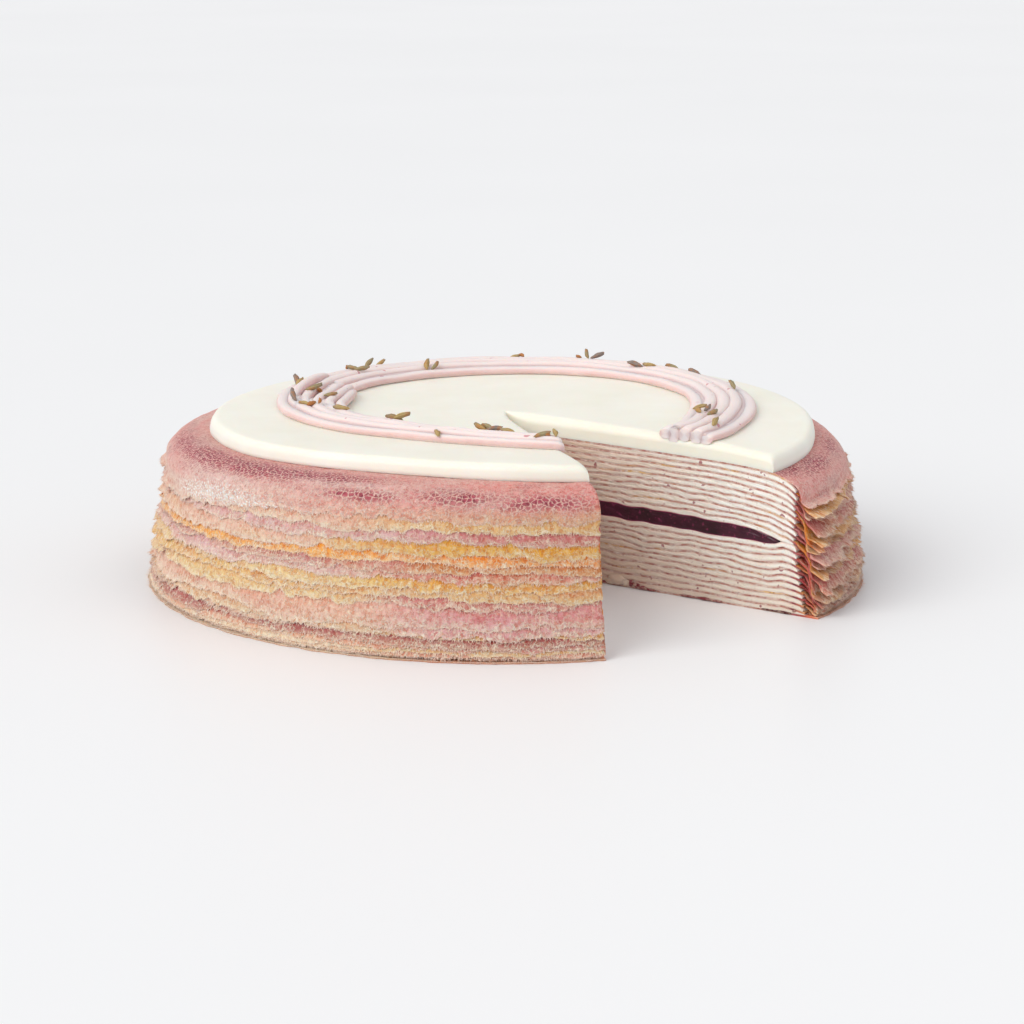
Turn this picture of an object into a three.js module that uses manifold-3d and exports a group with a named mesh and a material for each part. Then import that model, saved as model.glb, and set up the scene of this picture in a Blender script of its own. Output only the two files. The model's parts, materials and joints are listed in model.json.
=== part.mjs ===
// A round crepe cake with one wedge cut out. Twenty-one thin crepes are stacked with cream between
// them and a slab of dark berry jelly at mid height. The crepes are wider than the cream, so their
// rims hang down over the side like shingles. A disc of white icing lies on top, and a wreath of
// ridged piping with dried lavender buds pressed into it lies on the icing.
//
// Millimetres, +Z up. The origin is the middle of the round foot, and the cake rests on z = 0.
// The wedge that is missing opens towards -Y and +X.

import * as THREE from "three";
import { mergeVertices } from "three/addons/utils/BufferGeometryUtils.js";
import Module from "manifold-3d";

// ---------------------------------------------------------------- driving dimensions

const FOOT_RADIUS = 114.5; // the bottom crepe's rim, and the whole cake's outer radius
const CREPE_THICKNESS = 0.6;
const RIM_THICKNESS = 0.4; // crepes thin out towards their lacy rims
const SEAM = 0.1; // clearance between two layers that lie on each other

// The cut: two knife planes that meet near the middle.
const CUT_APEX = new THREE.Vector2(-0.3, 2.2);
const RIGHT_CUT = -35.45; // direction of the right-hand cut face, degrees about +Z
const LEFT_CUT = 284.4; // direction of the left-hand cut face, the same turn counted on

// The stack of layers.
const CREPES_ABOVE = 10; // crepes above the jelly
const CREPES_BELOW = 11; // crepes below it
const STACK_HEIGHT = 45; // top of the top crepe, at the middle
const SHOULDER_DROP = 2.6; // how far the top crepe has sunk where its rim turns down
const SHOULDER_DROP_RIGHT = 1.4; // and how much further at the right-hand cut
const SHOULDER_RADIUS = 104.8;
const SHOULDER_POWER = 30; // flat over most of the cake, then a quick droop
const SHOULDER_POWER_RIGHT = 16; // a slower one at the right-hand cut
const LIFT_RADIUS = 90; // out to here the stack rises or sinks against its middle
const LIFT = 1.8;
const LIFT_RIGHT = -3; // it has sunk at the right-hand cut
const LIFT_RIGHT_WIDTH = 38;
const LIFT_FRONT = 1.9; // and is highest at the front left
const LIFT_FRONT_AT = 260;
const LIFT_FRONT_WIDTH = 45;

const JELLY_RADIUS = 100;
const JELLY_THICKNESS = 4.1;
const JELLY_BOTTOM = 22.8;
const JELLY_SAG = 3; // how much lower the jelly lies at the rim
const JELLY_LIFT_SHARE = 0.25; // share of the stack's lift that the jelly follows
const JELLY_ROUND_POWER = 10; // how late the jelly's thickness rounds off towards its rim

const CREAM_RADIUS = 104.4; // cream in the upper half ends here
const CREAM_SPREAD = 3.8; // and this much further out at the foot
const CREAM_SPREAD_FROM = 24; // height below which the cream starts to spread
const CREAM_WAVE = 0.3; // how much a cream's outline wanders in and out
const CREAM_STEP_IN = 0.4; // the cream stops this far inside that outline

const RING_FLAT = 92; // inner part of a layer, flat from the apex out to here
const FLAT_FROM = 14; // from this crepe down the layers are flat out to their shoulder

const SHOULDER_OUT = 1.5; // a crepe bends down this far outside its cream
const SHOULDER_SINK = 0.5;
const BEND_UNDERSIDE = 0.25; // how far the inner side of the bend is cut back along the rim's lean
const BEND_THICKNESS_SHARE = 0.85;
const LONG_RIM = 7.6; // how far a long rim hangs down
const SHORT_RIM = 3; // and a short one, which stays behind the long ones
const RIM_CYCLE = 5; // two crepes in each five have a long rim
const TOP_RIM = 3.2; // how far the top crepe's rim hangs down
const RIM_CYCLE_FROM = 5; // the crepe from which the rims have their full length
const RIGHT_RIMS_LONGER = 0.8; // share by which the top rim is longer at the right-hand cut
const SKIRT_SLOPE = Math.tan(THREE.MathUtils.degToRad(30)); // rims lean outwards from the vertical
const SKIRT_CLEAR = 0.85; // horizontal room from one rim's outer face to the next one's
const RIM_WAVES = { twice: 0.12, fiveTimes: 0.1 }; // share by which the rims' length varies round the cake
const RIM_LEAST_DROP = 0.6;
const RIM_REST_RISE = 0.12; // rims that reach the foot lie this share higher for each crepe
const FOOT_INSET = 0.2; // no other rim comes nearer than this to the foot's edge

const TOP_BEND = { out: 1.6, down: 1.5 }; // the top crepe's shoulder bends in two steps
const TOP_TIP = { out: 0.8, down: 1.4 }; // least size of the rim below that bend

const ICING_RADIUS = 95.8;
const ICING_SHIFT = new THREE.Vector2(2.3, 0.5); // the icing disc lies a little off the middle
const ICING_DENT = 5.5; // the outline is flatter at the front left
const ICING_DENT_AT = 246;
const ICING_DENT_WIDTH = 26;
const ICING_THICKNESS = 6;
const ICING_EDGE_THICKNESS = 5;
const ICING_ROUND = 1.6; // rounding of its top edge
const ICING_SOFTEN = { width: 12, drop: 0.5 }; // and the top's gentle fall before it

// The piped wreath: a ring of ridged strands round a point behind the middle.
const WREATH_CENTRE = new THREE.Vector2(3, 11);
const WREATH_RADIUS = 67;
const WREATH_STRANDS = 5;
const STRAND_PITCH = 4.1; // strand spacing at the back and the right
const STRAND_PITCH_FRONT = 2.6; // and at the front, where they lie closer
const STRAND_HEIGHT = 3.7;
const GROOVE_HEIGHT = 2;
const WREATH_GAP = 0.25; // clearance to the icing below
const WREATH_JOIN = 160; // direction from the wreath's centre in which its two ends overlap
const WREATH_STEP = 15; // degrees between two sections of the sweep
const WREATH_BENDS = [
  { by: -5.5, at: 232, width: 30 }, // the middle line bows in at the front left
  { by: 7, at: 285, width: 16 }, // and out beside each cut
  { by: 3.5, at: 320, width: 14 },
];
const WREATH_CLOSEST = { at: 268, width: 45 }; // where the strands lie closest
const WREATH_FRONT = { from: -62, to: 300 }; // both bands run on into the missing wedge
const WREATH_OVERLAP = { over: 4, under: 6 }; // degrees by which the two ends pass the join
const END_TAPER = 0.75;

// The four strands that turn inwards over the join.
const CROSSING_STRANDS = 4;
const CROSSING_RADIUS = 2.3;
const CROSSING_SIDES = 6;
const CROSSING_FIRST = { turn: 30, across: 5 }; // the first one's place, from the join
const CROSSING_NEXT = { turn: -5, across: -3.2 }; // and the step to each next one
const CROSSING_COURSE = [
  { turn: 16, across: 1, height: 2.2 },
  { turn: 4, across: 0.5, height: 3.6 },
  { turn: -9, across: -3, height: 4.2 },
  { turn: -19, across: -7, height: 3.4 },
];

const BUD_LENGTH = 5.6;
const BUD_RADIUS = 1.05;
const BUD_SIDES = 5;
const BUD_CLUSTERS = 13;
const BUDS_PER_CLUSTER = 2.3;
const BUD_RISE = 0.35; // the buds' middle lies this far above the strands' crests
const BUD_SEED = 20;
const BUD_ARC = 318; // degrees of the wreath over which the clusters are spread
const BUD_SPACING = 3.5; // degrees between the buds of one cluster
const BUD_JITTER = 7;
const BUD_SIZES = { from: 0.8, spread: 0.35 }; // share of the full size
const BUD_TIP = 0.7; // radians by which a bud tips out of the level at most

// ---------------------------------------------------------------- small helpers

const radians = THREE.MathUtils.degToRad;
const { lerp, smoothstep } = THREE.MathUtils;

/** A bump of height 1 round `at`, in degrees. */
function bump(phi, at, width) {
  const away = ((phi - at + 540) % 360) - 180;
  return Math.exp(-((away / width) ** 2));
}

/** A repeatable stream of numbers from 0 to 1. */
function seededRandom(seed) {
  let state = seed;
  return () => {
    state = (state * 1664525 + 1013904223) % 4294967296;
    return state / 4294967296;
  };
}

/** Distance from the apex of the cut to the circle of radius r round the origin, along phi. */
function reach(phi, r) {
  const ux = Math.cos(radians(phi));
  const uy = Math.sin(radians(phi));
  const along = CUT_APEX.x * ux + CUT_APEX.y * uy;
  return -along + Math.sqrt(r * r - CUT_APEX.lengthSq() + along * along);
}

/** The point at radius r and height z on the ray that leaves the apex along phi. */
function pointAt(phi, r, z) {
  const d = reach(phi, r);
  return [
    CUT_APEX.x + d * Math.cos(radians(phi)),
    CUT_APEX.y + d * Math.sin(radians(phi)),
    z,
  ];
}

// The rays on which every layer has its vertices: both cut faces and the four axis directions are
// among them, so the foot is as wide along X as along Y.
const QUARTERS = [0, 90, 180, 270];
const STEPS_PER_QUARTER = 6;
const STEPS_TO_FIRST_QUARTER = 3;

function rays() {
  const list = [];
  for (let i = 0; i < STEPS_TO_FIRST_QUARTER; i++) {
    list.push(lerp(RIGHT_CUT, QUARTERS[0], i / STEPS_TO_FIRST_QUARTER));
  }
  for (let q = 0; q < QUARTERS.length - 1; q++) {
    for (let i = 0; i < STEPS_PER_QUARTER; i++) {
      list.push(lerp(QUARTERS[q], QUARTERS[q + 1], i / STEPS_PER_QUARTER));
    }
  }
  list.push(QUARTERS[3], LEFT_CUT);
  return list;
}

/** The same rays with one more between each two, for the pieces that show on top. */
function halved(coarse) {
  return coarse.flatMap((phi, i) =>
    i + 1 < coarse.length ? [phi, (phi + coarse[i + 1]) / 2] : [phi],
  );
}

const RAYS = rays();
const FINE_RAYS = halved(RAYS);

// ---------------------------------------------------------------- heights of the layers

/** 0 at the right-hand cut, 1 at the left-hand cut. */
const wayRound = (phi) => (phi - RIGHT_CUT) / (LEFT_CUT - RIGHT_CUT);

/** 1 at the right-hand cut, falling to 0 away from it. */
const nearRightCut = (phi) => Math.exp(-(((phi - RIGHT_CUT) / LIFT_RIGHT_WIDTH) ** 2));

function edgeLift(phi) {
  const right = LIFT_RIGHT * nearRightCut(phi);
  return LIFT + right + LIFT_FRONT * bump(phi, LIFT_FRONT_AT, LIFT_FRONT_WIDTH);
}

function stackTop(phi, r) {
  const near = nearRightCut(phi);
  const power = lerp(SHOULDER_POWER, SHOULDER_POWER_RIGHT, near);
  const droop = (SHOULDER_DROP + SHOULDER_DROP_RIGHT * near) * (r / SHOULDER_RADIUS) ** power;
  return STACK_HEIGHT - droop + edgeLift(phi) * Math.min(r / LIFT_RADIUS, 1) ** 2;
}

function jellyBottom(phi, r) {
  const lift = JELLY_LIFT_SHARE * edgeLift(phi) * (r / LIFT_RADIUS) ** 2;
  return JELLY_BOTTOM - JELLY_SAG * (r / SHOULDER_RADIUS) ** 3 + lift;
}

function jellyThickness(r) {
  return JELLY_THICKNESS * Math.sqrt(Math.max(0, 1 - (r / JELLY_RADIUS) ** JELLY_ROUND_POWER));
}

const jellyTop = (phi, r) => jellyBottom(phi, r) + jellyThickness(r);

const CREPE_COUNT = CREPES_ABOVE + CREPES_BELOW;

/** Height of the upper face of crepe k, counted from 1 at the top. */
function crepeTop(k, phi, r) {
  if (k <= CREPES_ABOVE) {
    const top = stackTop(phi, r);
    const pitch = (top - jellyTop(phi, r)) / CREPES_ABOVE;
    return top - (k - 1) * pitch;
  }
  const pitch = jellyBottom(phi, r) / CREPES_BELOW;
  return CREPE_THICKNESS + (CREPE_COUNT - k) * pitch;
}

function creamRadius(k, phi) {
  const z = crepeTop(k, phi, SHOULDER_RADIUS);
  const spread = 1 - smoothstep(z, 0, CREAM_SPREAD_FROM);
  return CREAM_RADIUS + CREAM_SPREAD * spread + CREAM_WAVE * Math.sin(radians(3 * phi) + 2 * k);
}

// ---------------------------------------------------------------- hanging rims

/** How far the rim of crepe k hangs down, uneven round the cake. */
function skirtDrop(k, phi) {
  const grow = smoothstep(k, 1, RIM_CYCLE_FROM);
  const hangsLow = k % RIM_CYCLE === 0 || k % RIM_CYCLE === 2;
  const drop = lerp(TOP_RIM, hangsLow ? LONG_RIM : SHORT_RIM, grow);
  const longer = RIGHT_RIMS_LONGER * (1 - smoothstep(wayRound(phi), 0, 0.5)) * (1 - 0.7 * grow);
  const slow = RIM_WAVES.twice * Math.sin(radians(2 * phi) + 1.9 * k);
  const quick = RIM_WAVES.fiveTimes * Math.sin(radians(5 * phi) + 3.1 * k);
  return drop * (1 + longer + slow + quick);
}

/** Radius of a rim's outer face at height z, on the straight line from its bend to its tip. */
function skirtRadius(rim, z) {
  const share = (rim.bend.z - z) / (rim.bend.z - rim.tip.z);
  return lerp(rim.bend.r, rim.tip.r, share);
}

/**
 * Hangs the rims on one ray, from the bottom crepe up. Each rim leans outwards as far as it must to
 * pass over the rims below it.
 */
function hangRims(phi) {
  const rims = [];
  for (let k = CREPE_COUNT; k >= 1; k--) {
    const bendRadius = creamRadius(k, phi) + SHOULDER_OUT;
    if (k === CREPE_COUNT) {
      rims[k] = {
        bend: { r: bendRadius, z: CREPE_THICKNESS },
        tip: { r: FOOT_RADIUS, z: RIM_THICKNESS },
      };
      continue;
    }
    const bend = { r: bendRadius, z: crepeTop(k, phi, SHOULDER_RADIUS) - SHOULDER_SINK };
    const rest = RIM_THICKNESS + SKIRT_CLEAR * (1 + RIM_REST_RISE * (CREPE_COUNT - k));
    const lowest = Math.min(rest, bend.z - RIM_LEAST_DROP);
    const tipHeight = Math.max(bend.z - skirtDrop(k, phi), lowest);
    let slope = SKIRT_SLOPE;
    for (let m = k + 1; m < CREPE_COUNT; m++) {
      const below = rims[m];
      for (const z of [below.bend.z, below.tip.z, tipHeight]) {
        const onBoth = z >= tipHeight && z <= bend.z && z <= below.bend.z && z >= below.tip.z;
        if (!onBoth) continue;
        const needed = skirtRadius(below, z) + SKIRT_CLEAR - bend.r;
        slope = Math.max(slope, needed / (bend.z - z));
      }
    }
    const room = FOOT_RADIUS - FOOT_INSET - bend.r;
    const drop = Math.min(bend.z - tipHeight, room / slope);
    rims[k] = { bend, tip: { r: bend.r + drop * slope, z: bend.z - drop } };
  }
  return rims;
}

const RIMS = new Map(FINE_RAYS.map((phi) => [phi, hangRims(phi)]));

// ---------------------------------------------------------------- solids of revolution with a cut

/**
 * A closed solid between the two cut faces. `upper` and `lower` give the profile on a ray, from the
 * apex outwards, as { r, z } points; the first of each is on the apex line (r = 0).
 */
function cutSolid(phis, upper, lower) {
  const positions = [];
  const index = [];
  const sheets = [upper, lower].map((profile) => {
    const columns = phis.map((phi) => profile(phi));
    const apex = positions.length / 3;
    const apexHeight = columns.reduce((sum, c) => sum + c[0].z, 0) / columns.length;
    positions.push(CUT_APEX.x, CUT_APEX.y, apexHeight);
    const rings = [];
    for (let i = 1; i < columns[0].length; i++) {
      rings.push(
        columns.map((column, j) => {
          positions.push(...pointAt(phis[j], column[i].r, column[i].z));
          return positions.length / 3 - 1;
        }),
      );
    }
    return { apex, apexHeight, rings, columns };
  });

  const quad = (a, b, c, d) => index.push(a, b, c, a, c, d);
  sheets.forEach(({ apex, rings }, side) => {
    for (let j = 0; j + 1 < phis.length; j++) {
      const first = rings[0];
      if (side === 0) index.push(apex, first[j], first[j + 1]);
      else index.push(apex, first[j + 1], first[j]);
      for (let i = 0; i + 1 < rings.length; i++) {
        const inner = rings[i];
        const outer = rings[i + 1];
        if (side === 0) quad(inner[j], outer[j], outer[j + 1], inner[j + 1]);
        else quad(inner[j + 1], outer[j + 1], outer[j], inner[j]);
      }
    }
  });
  const [top, bottom] = sheets;
  const topRim = top.rings.at(-1);
  const bottomRim = bottom.rings.at(-1);
  for (let j = 0; j + 1 < phis.length; j++) {
    quad(bottomRim[j], bottomRim[j + 1], topRim[j + 1], topRim[j]);
  }

  // The two cut faces: a strip of triangles between the lower and the upper outline.
  for (const j of [0, phis.length - 1]) {
    const [above, below] = sheets.map((sheet) => ({
      ids: [sheet.apex, ...sheet.rings.map((ring) => ring[j])],
      points: sheet.columns[j].map(({ r, z }, i) =>
        i === 0 ? new THREE.Vector2(0, sheet.apexHeight) : new THREE.Vector2(reach(phis[j], r), z),
      ),
    }));
    const face = (a, b, c) => (j === 0 ? index.push(a, b, c) : index.push(a, c, b));
    let u = 0;
    let v = 0;
    while (u + 1 < above.ids.length || v + 1 < below.ids.length) {
      const upTo = above.points[u + 1]?.distanceTo(below.points[v]) ?? Infinity;
      const downTo = below.points[v + 1]?.distanceTo(above.points[u]) ?? Infinity;
      if (downTo <= upTo) {
        face(above.ids[u], below.ids[v], below.ids[v + 1]);
        v++;
      } else {
        face(above.ids[u], below.ids[v], above.ids[u + 1]);
        u++;
      }
    }
  }

  const geometry = new THREE.BufferGeometry();
  geometry.setAttribute("position", new THREE.Float32BufferAttribute(positions, 3));
  geometry.setIndex(index);
  return geometry;
}

/** Height at radius r on the straight lines that join the points of a profile. */
function heightOn(profile, r) {
  let i = 1;
  while (i + 1 < profile.length && profile[i].r < r) i++;
  const a = profile[i - 1];
  const b = profile[i];
  return lerp(a.z, b.z, (r - a.r) / (b.r - a.r));
}

// ---------------------------------------------------------------- crepes, creams and jelly

/** Flat part and bend of crepe k's upper face on a ray, shared with the cream that lies on it. */
function crepeFace(k, phi) {
  const { bend } = RIMS.get(phi)[k];
  const points = [{ r: 0, z: crepeTop(k, phi, 0) }];
  if (k < FLAT_FROM) points.push({ r: RING_FLAT, z: crepeTop(k, phi, RING_FLAT) });
  points.push(bend);
  return points;
}

/** How far a rim leans out for each millimetre down, and its thickness measured level. */
function rimLean({ bend, tip }) {
  const lean = (tip.r - bend.r) / (bend.z - tip.z);
  return { lean, inward: RIM_THICKNESS * Math.sqrt(1 + lean * lean) };
}

/** The lower face of crepe k, shared with the cream below it. */
function crepeUnderside(k, phi) {
  if (k === CREPE_COUNT) {
    return [{ r: 0, z: 0 }, { r: creamRadius(k, phi), z: 0 }];
  }
  const rim = RIMS.get(phi)[k];
  const { lean, inward } = rimLean(rim);
  const under = crepeFace(k, phi)
    .slice(0, -1)
    .map(({ r, z }) => ({ r, z: z - CREPE_THICKNESS }));
  under.push({
    r: rim.bend.r - inward + lean * BEND_UNDERSIDE,
    z: rim.bend.z - BEND_THICKNESS_SHARE * CREPE_THICKNESS,
  });
  return under;
}

function crepeGeometry(k) {
  const upper = (phi) => [...crepeFace(k, phi), RIMS.get(phi)[k].tip];
  const lower = (phi) => {
    const rim = RIMS.get(phi)[k];
    const inward = k === CREPE_COUNT ? 0 : rimLean(rim).inward;
    const z = k === CREPE_COUNT ? 0 : rim.tip.z;
    return [...crepeUnderside(k, phi), { r: rim.tip.r - inward, z }];
  };
  return cutSolid(RAYS, upper, lower);
}

// The top crepe shows all round the icing, so its shoulder is rounder and it has more rays.
const TOP_CREPE_RADII = [86, 94.5, 100.5];

function topCrepeGeometry() {
  const roundBend = (phi) => {
    const { bend, tip } = RIMS.get(phi)[1];
    const outer = { r: bend.r + TOP_BEND.out, z: bend.z - TOP_BEND.down };
    const end = {
      r: Math.max(tip.r, outer.r + TOP_TIP.out),
      z: Math.min(tip.z, outer.z - TOP_TIP.down),
    };
    return { bend, outer, end };
  };
  const upper = (phi) => {
    const { bend, outer, end } = roundBend(phi);
    const flat = TOP_CREPE_RADII.map((r) => ({ r, z: stackTop(phi, r) }));
    return [{ r: 0, z: stackTop(phi, 0) }, ...flat, bend, outer, end];
  };
  const lower = (phi) => {
    const { outer, end } = roundBend(phi);
    return [
      ...crepeUnderside(1, phi),
      { r: outer.r - RIM_THICKNESS, z: outer.z - RIM_THICKNESS / 2 },
      { r: end.r - RIM_THICKNESS, z: end.z },
    ];
  };
  return cutSolid(FINE_RAYS, upper, lower);
}

/** A cream's face against a crepe: the crepe's own lines, cut off at the cream's radius. */
function creamFace(crepeProfile, radius, offset) {
  const inner = crepeProfile.filter(({ r }) => r < radius - 1);
  const face = [...inner, { r: radius, z: heightOn(crepeProfile, radius) }];
  return face.map(({ r, z }) => ({ r, z: z + offset }));
}

const JELLY_RADII = [78, 91, JELLY_RADIUS - 1];
const SEAM_RADII = [...JELLY_RADII, JELLY_RADIUS + 1];

/** The jelly's upper or lower face carried on to the cream's radius, for the creams against it. */
function jellySide(heightOf, phi, radius, offset) {
  const radii = [0, ...SEAM_RADII, radius];
  return radii.map((r) => ({ r, z: heightOf(phi, r) + offset }));
}

function creamGeometry(k) {
  const radius = (phi) => creamRadius(k, phi) - CREAM_STEP_IN;
  const upper = (phi) =>
    k === CREPES_ABOVE + 1
      ? jellySide(jellyBottom, phi, radius(phi), -SEAM)
      : creamFace(crepeUnderside(k < CREPES_ABOVE + 1 ? k : k - 1, phi), radius(phi), -SEAM);
  const lower = (phi) =>
    k === CREPES_ABOVE
      ? jellySide(jellyTop, phi, radius(phi), SEAM)
      : creamFace(crepeFace(k < CREPES_ABOVE ? k + 1 : k, phi), radius(phi), SEAM);
  return cutSolid(RAYS, upper, lower);
}

function jellyGeometry() {
  const radii = [0, ...JELLY_RADII];
  const upper = (phi) => radii.map((r) => ({ r, z: jellyTop(phi, r) }));
  const lower = (phi) => radii.map((r) => ({ r, z: jellyBottom(phi, r) }));
  return cutSolid(RAYS, upper, lower);
}

// ---------------------------------------------------------------- icing

function icingRadius(phi) {
  const shift = ICING_SHIFT.x * Math.cos(radians(phi)) + ICING_SHIFT.y * Math.sin(radians(phi));
  return ICING_RADIUS + shift - ICING_DENT * bump(phi, ICING_DENT_AT, ICING_DENT_WIDTH);
}

const ICING_RINGS = [0.62, 0.9]; // of its radius

function icingTopAt(phi, r) {
  const thickness = lerp(ICING_THICKNESS, ICING_EDGE_THICKNESS, (r / ICING_RADIUS) ** 2);
  const edge = icingRadius(phi);
  const fall = ICING_SOFTEN.drop * smoothstep(r, edge - ICING_SOFTEN.width, edge);
  return stackTop(phi, Math.min(r, LIFT_RADIUS)) + thickness - fall;
}

function icingGeometry() {
  const upper = (phi) => {
    const edge = icingRadius(phi);
    const radii = [0, ...ICING_RINGS.map((share) => share * edge), edge - ICING_ROUND];
    const flat = radii.map((r) => ({ r, z: icingTopAt(phi, r) }));
    return [...flat, { r: edge, z: flat.at(-1).z - ICING_ROUND }];
  };
  const lower = (phi) => {
    // The crepe's rings inside the icing's edge; where the edge comes inside a ring, the point moves in.
    const edge = icingRadius(phi) - 0.5;
    const [first, second] = TOP_CREPE_RADII;
    const radii = [0, Math.min(first, edge - 3), Math.min(second, edge - 1.5), edge];
    const crepe = [0, ...TOP_CREPE_RADII, SHOULDER_RADIUS].map((r) => ({ r, z: stackTop(phi, r) }));
    return radii.map((r) => ({ r, z: heightOn(crepe, r) + SEAM }));
  };
  return cutSolid(FINE_RAYS, upper, lower);
}

// ---------------------------------------------------------------- piping and lavender

const wasm = await Module();
wasm.setup();

/** A closed three.js geometry as a manifold-3d solid. */
function solidOf(geometry) {
  const bare = geometry.index ? geometry.toNonIndexed() : geometry.clone();
  bare.deleteAttribute("normal");
  bare.deleteAttribute("uv");
  const merged = mergeVertices(bare, 1e-4);
  return new wasm.Manifold(
    new wasm.Mesh({
      numProp: 3,
      vertProperties: merged.attributes.position.array,
      triVerts: new Uint32Array(merged.index.array),
    }),
  );
}

function geometryOf(solid) {
  const mesh = solid.getMesh();
  const geometry = new THREE.BufferGeometry();
  const positions = new Float32Array(mesh.numVert * 3);
  for (let i = 0; i < mesh.numVert; i++) {
    positions.set(mesh.vertProperties.subarray(i * mesh.numProp, i * mesh.numProp + 3), i * 3);
  }
  geometry.setAttribute("position", new THREE.BufferAttribute(positions, 3));
  geometry.setIndex(new THREE.BufferAttribute(new Uint32Array(mesh.triVerts), 1));
  return geometry;
}

/** The outer body alone: hollows that the strands close off are filled, loose scraps are dropped. */
function largestBody(solid) {
  return solid.decompose().reduce((best, body) => (body.volume() > best.volume() ? body : best));
}

/** Height of the icing under the point (x, y). */
function icingHeight(x, y) {
  const r = Math.hypot(x, y);
  const phi = THREE.MathUtils.radToDeg(Math.atan2(y - CUT_APEX.y, x - CUT_APEX.x));
  return icingTopAt(phi < RIGHT_CUT ? phi + 360 : phi, r);
}

/** Strand spacing in direction theta from the wreath's centre. */
function strandPitch(theta) {
  const { at, width } = WREATH_CLOSEST;
  return lerp(STRAND_PITCH, STRAND_PITCH_FRONT, bump(theta, at, width));
}

/** Radius of the wreath's middle line. */
function wreathRadius(theta) {
  return WREATH_BENDS.reduce((r, { by, at, width }) => r + by * bump(theta, at, width), WREATH_RADIUS);
}

function wreathPoint(theta, across, height) {
  const r = wreathRadius(theta) + across;
  const x = WREATH_CENTRE.x + r * Math.cos(radians(theta));
  const y = WREATH_CENTRE.y + r * Math.sin(radians(theta));
  return new THREE.Vector3(x, y, icingHeight(x, y) + WREATH_GAP + height);
}

/**
 * Points across the band, in strand pitches: its two round sides, a groove between each two strands,
 * and two crest points on each strand.
 */
function bandProfile() {
  const side = WREATH_STRANDS / 2;
  const widest = 0.45 * STRAND_HEIGHT;
  const footInset = 0.1;
  const crest = 0.24; // half the width of a strand's top
  const points = [{ across: footInset - side, height: 0 }, { across: -side, height: widest }];
  for (let s = 0; s < WREATH_STRANDS; s++) {
    const middle = s + 0.5 - side;
    if (s > 0) points.push({ across: middle - 0.5, height: GROOVE_HEIGHT });
    points.push({ across: middle - crest, height: STRAND_HEIGHT });
    points.push({ across: middle + crest, height: STRAND_HEIGHT });
  }
  points.push({ across: side, height: widest }, { across: side - footInset, height: 0 });
  return points;
}

/** Sweeps the ridged band from one direction to another; its ends taper where they are free. */
function bandGeometry(from, to, taperFrom, taperTo) {
  const profile = bandProfile();
  const steps = Math.round(Math.abs(to - from) / WREATH_STEP);
  const positions = [];
  const index = [];
  const count = profile.length;
  for (let i = 0; i <= steps; i++) {
    const theta = lerp(from, to, i / steps);
    const end = i === 0 ? taperFrom : i === steps ? taperTo : 1;
    for (const { across, height } of profile) {
      const p = wreathPoint(theta, across * strandPitch(theta) * end, height * end);
      positions.push(p.x, p.y, p.z);
    }
  }
  for (let i = 0; i < steps; i++) {
    for (let s = 0; s < count; s++) {
      const a = i * count + s;
      const b = i * count + ((s + 1) % count);
      index.push(a, a + count, b, b, a + count, b + count);
    }
  }
  const capOutline = profile.map(({ across, height }) => new THREE.Vector2(across, height));
  const last = steps * count;
  for (const [a, b, c] of THREE.ShapeUtils.triangulateShape(capOutline, [])) {
    index.push(a, c, b);
    index.push(last + a, last + b, last + c);
  }
  const geometry = new THREE.BufferGeometry();
  geometry.setAttribute("position", new THREE.Float32BufferAttribute(positions, 3));
  geometry.setIndex(index);
  return geometry;
}

/** A short round strand laid along a curve. */
function strandGeometry(points) {
  const outline = [];
  for (let i = 0; i < CROSSING_SIDES; i++) {
    const a = (2 * Math.PI * i) / CROSSING_SIDES;
    outline.push(new THREE.Vector2(CROSSING_RADIUS * Math.cos(a), CROSSING_RADIUS * Math.sin(a)));
  }
  return new THREE.ExtrudeGeometry(new THREE.Shape(outline), {
    steps: 2 * (points.length - 1),
    extrudePath: new THREE.CatmullRomCurve3(points),
  });
}

/** Where the wreath's two ends meet, its inner strands turn inwards across one another. */
function crossingStrands() {
  const strands = [];
  for (let s = 0; s < CROSSING_STRANDS; s++) {
    const start = WREATH_JOIN + CROSSING_FIRST.turn + CROSSING_NEXT.turn * s;
    const from = CROSSING_FIRST.across + CROSSING_NEXT.across * s;
    const course = CROSSING_COURSE.map(({ turn, across, height }) =>
      wreathPoint(start + turn, from + across, height),
    );
    strands.push(strandGeometry(course));
  }
  return strands;
}

/** A dried lavender bud: a narrow cup, widest past its middle and pointed at its stalk. */
function budGeometry(length, radius) {
  const profile = [
    [0, -length / 2],
    [0.75 * radius, -0.25 * length],
    [radius, 0.18 * length],
    [0.5 * radius, length / 2],
    [0, 0.44 * length],
  ].map(([x, y]) => new THREE.Vector2(x, y));
  return new THREE.LatheGeometry(profile, BUD_SIDES);
}

/** Buds lie in loose clusters along the wreath, each tipped and turned its own way. */
function budGeometries() {
  const random = seededRandom(BUD_SEED);
  const buds = [];
  for (let cluster = 0; cluster < BUD_CLUSTERS; cluster++) {
    const theta = WREATH_FRONT.to - 28 - ((cluster + 0.5) * BUD_ARC) / BUD_CLUSTERS;
    const count = Math.max(1, Math.round(BUDS_PER_CLUSTER + 2.4 * (random() - 0.5)));
    for (let i = 0; i < count; i++) {
      const where = theta + BUD_JITTER * (random() - 0.5) + BUD_SPACING * i;
      const strand = Math.floor(WREATH_STRANDS * random()) - (WREATH_STRANDS - 1) / 2;
      const size = BUD_SIZES.from + BUD_SIZES.spread * random();
      const bud = budGeometry(BUD_LENGTH * size, BUD_RADIUS * size);
      bud.rotateX((random() - 0.35) * BUD_TIP);
      bud.rotateZ(2 * Math.PI * random());
      const at = wreathPoint(where, strand * strandPitch(where), STRAND_HEIGHT + BUD_RISE);
      bud.translate(at.x, at.y, at.z);
      buds.push(bud);
    }
  }
  return buds;
}

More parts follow.
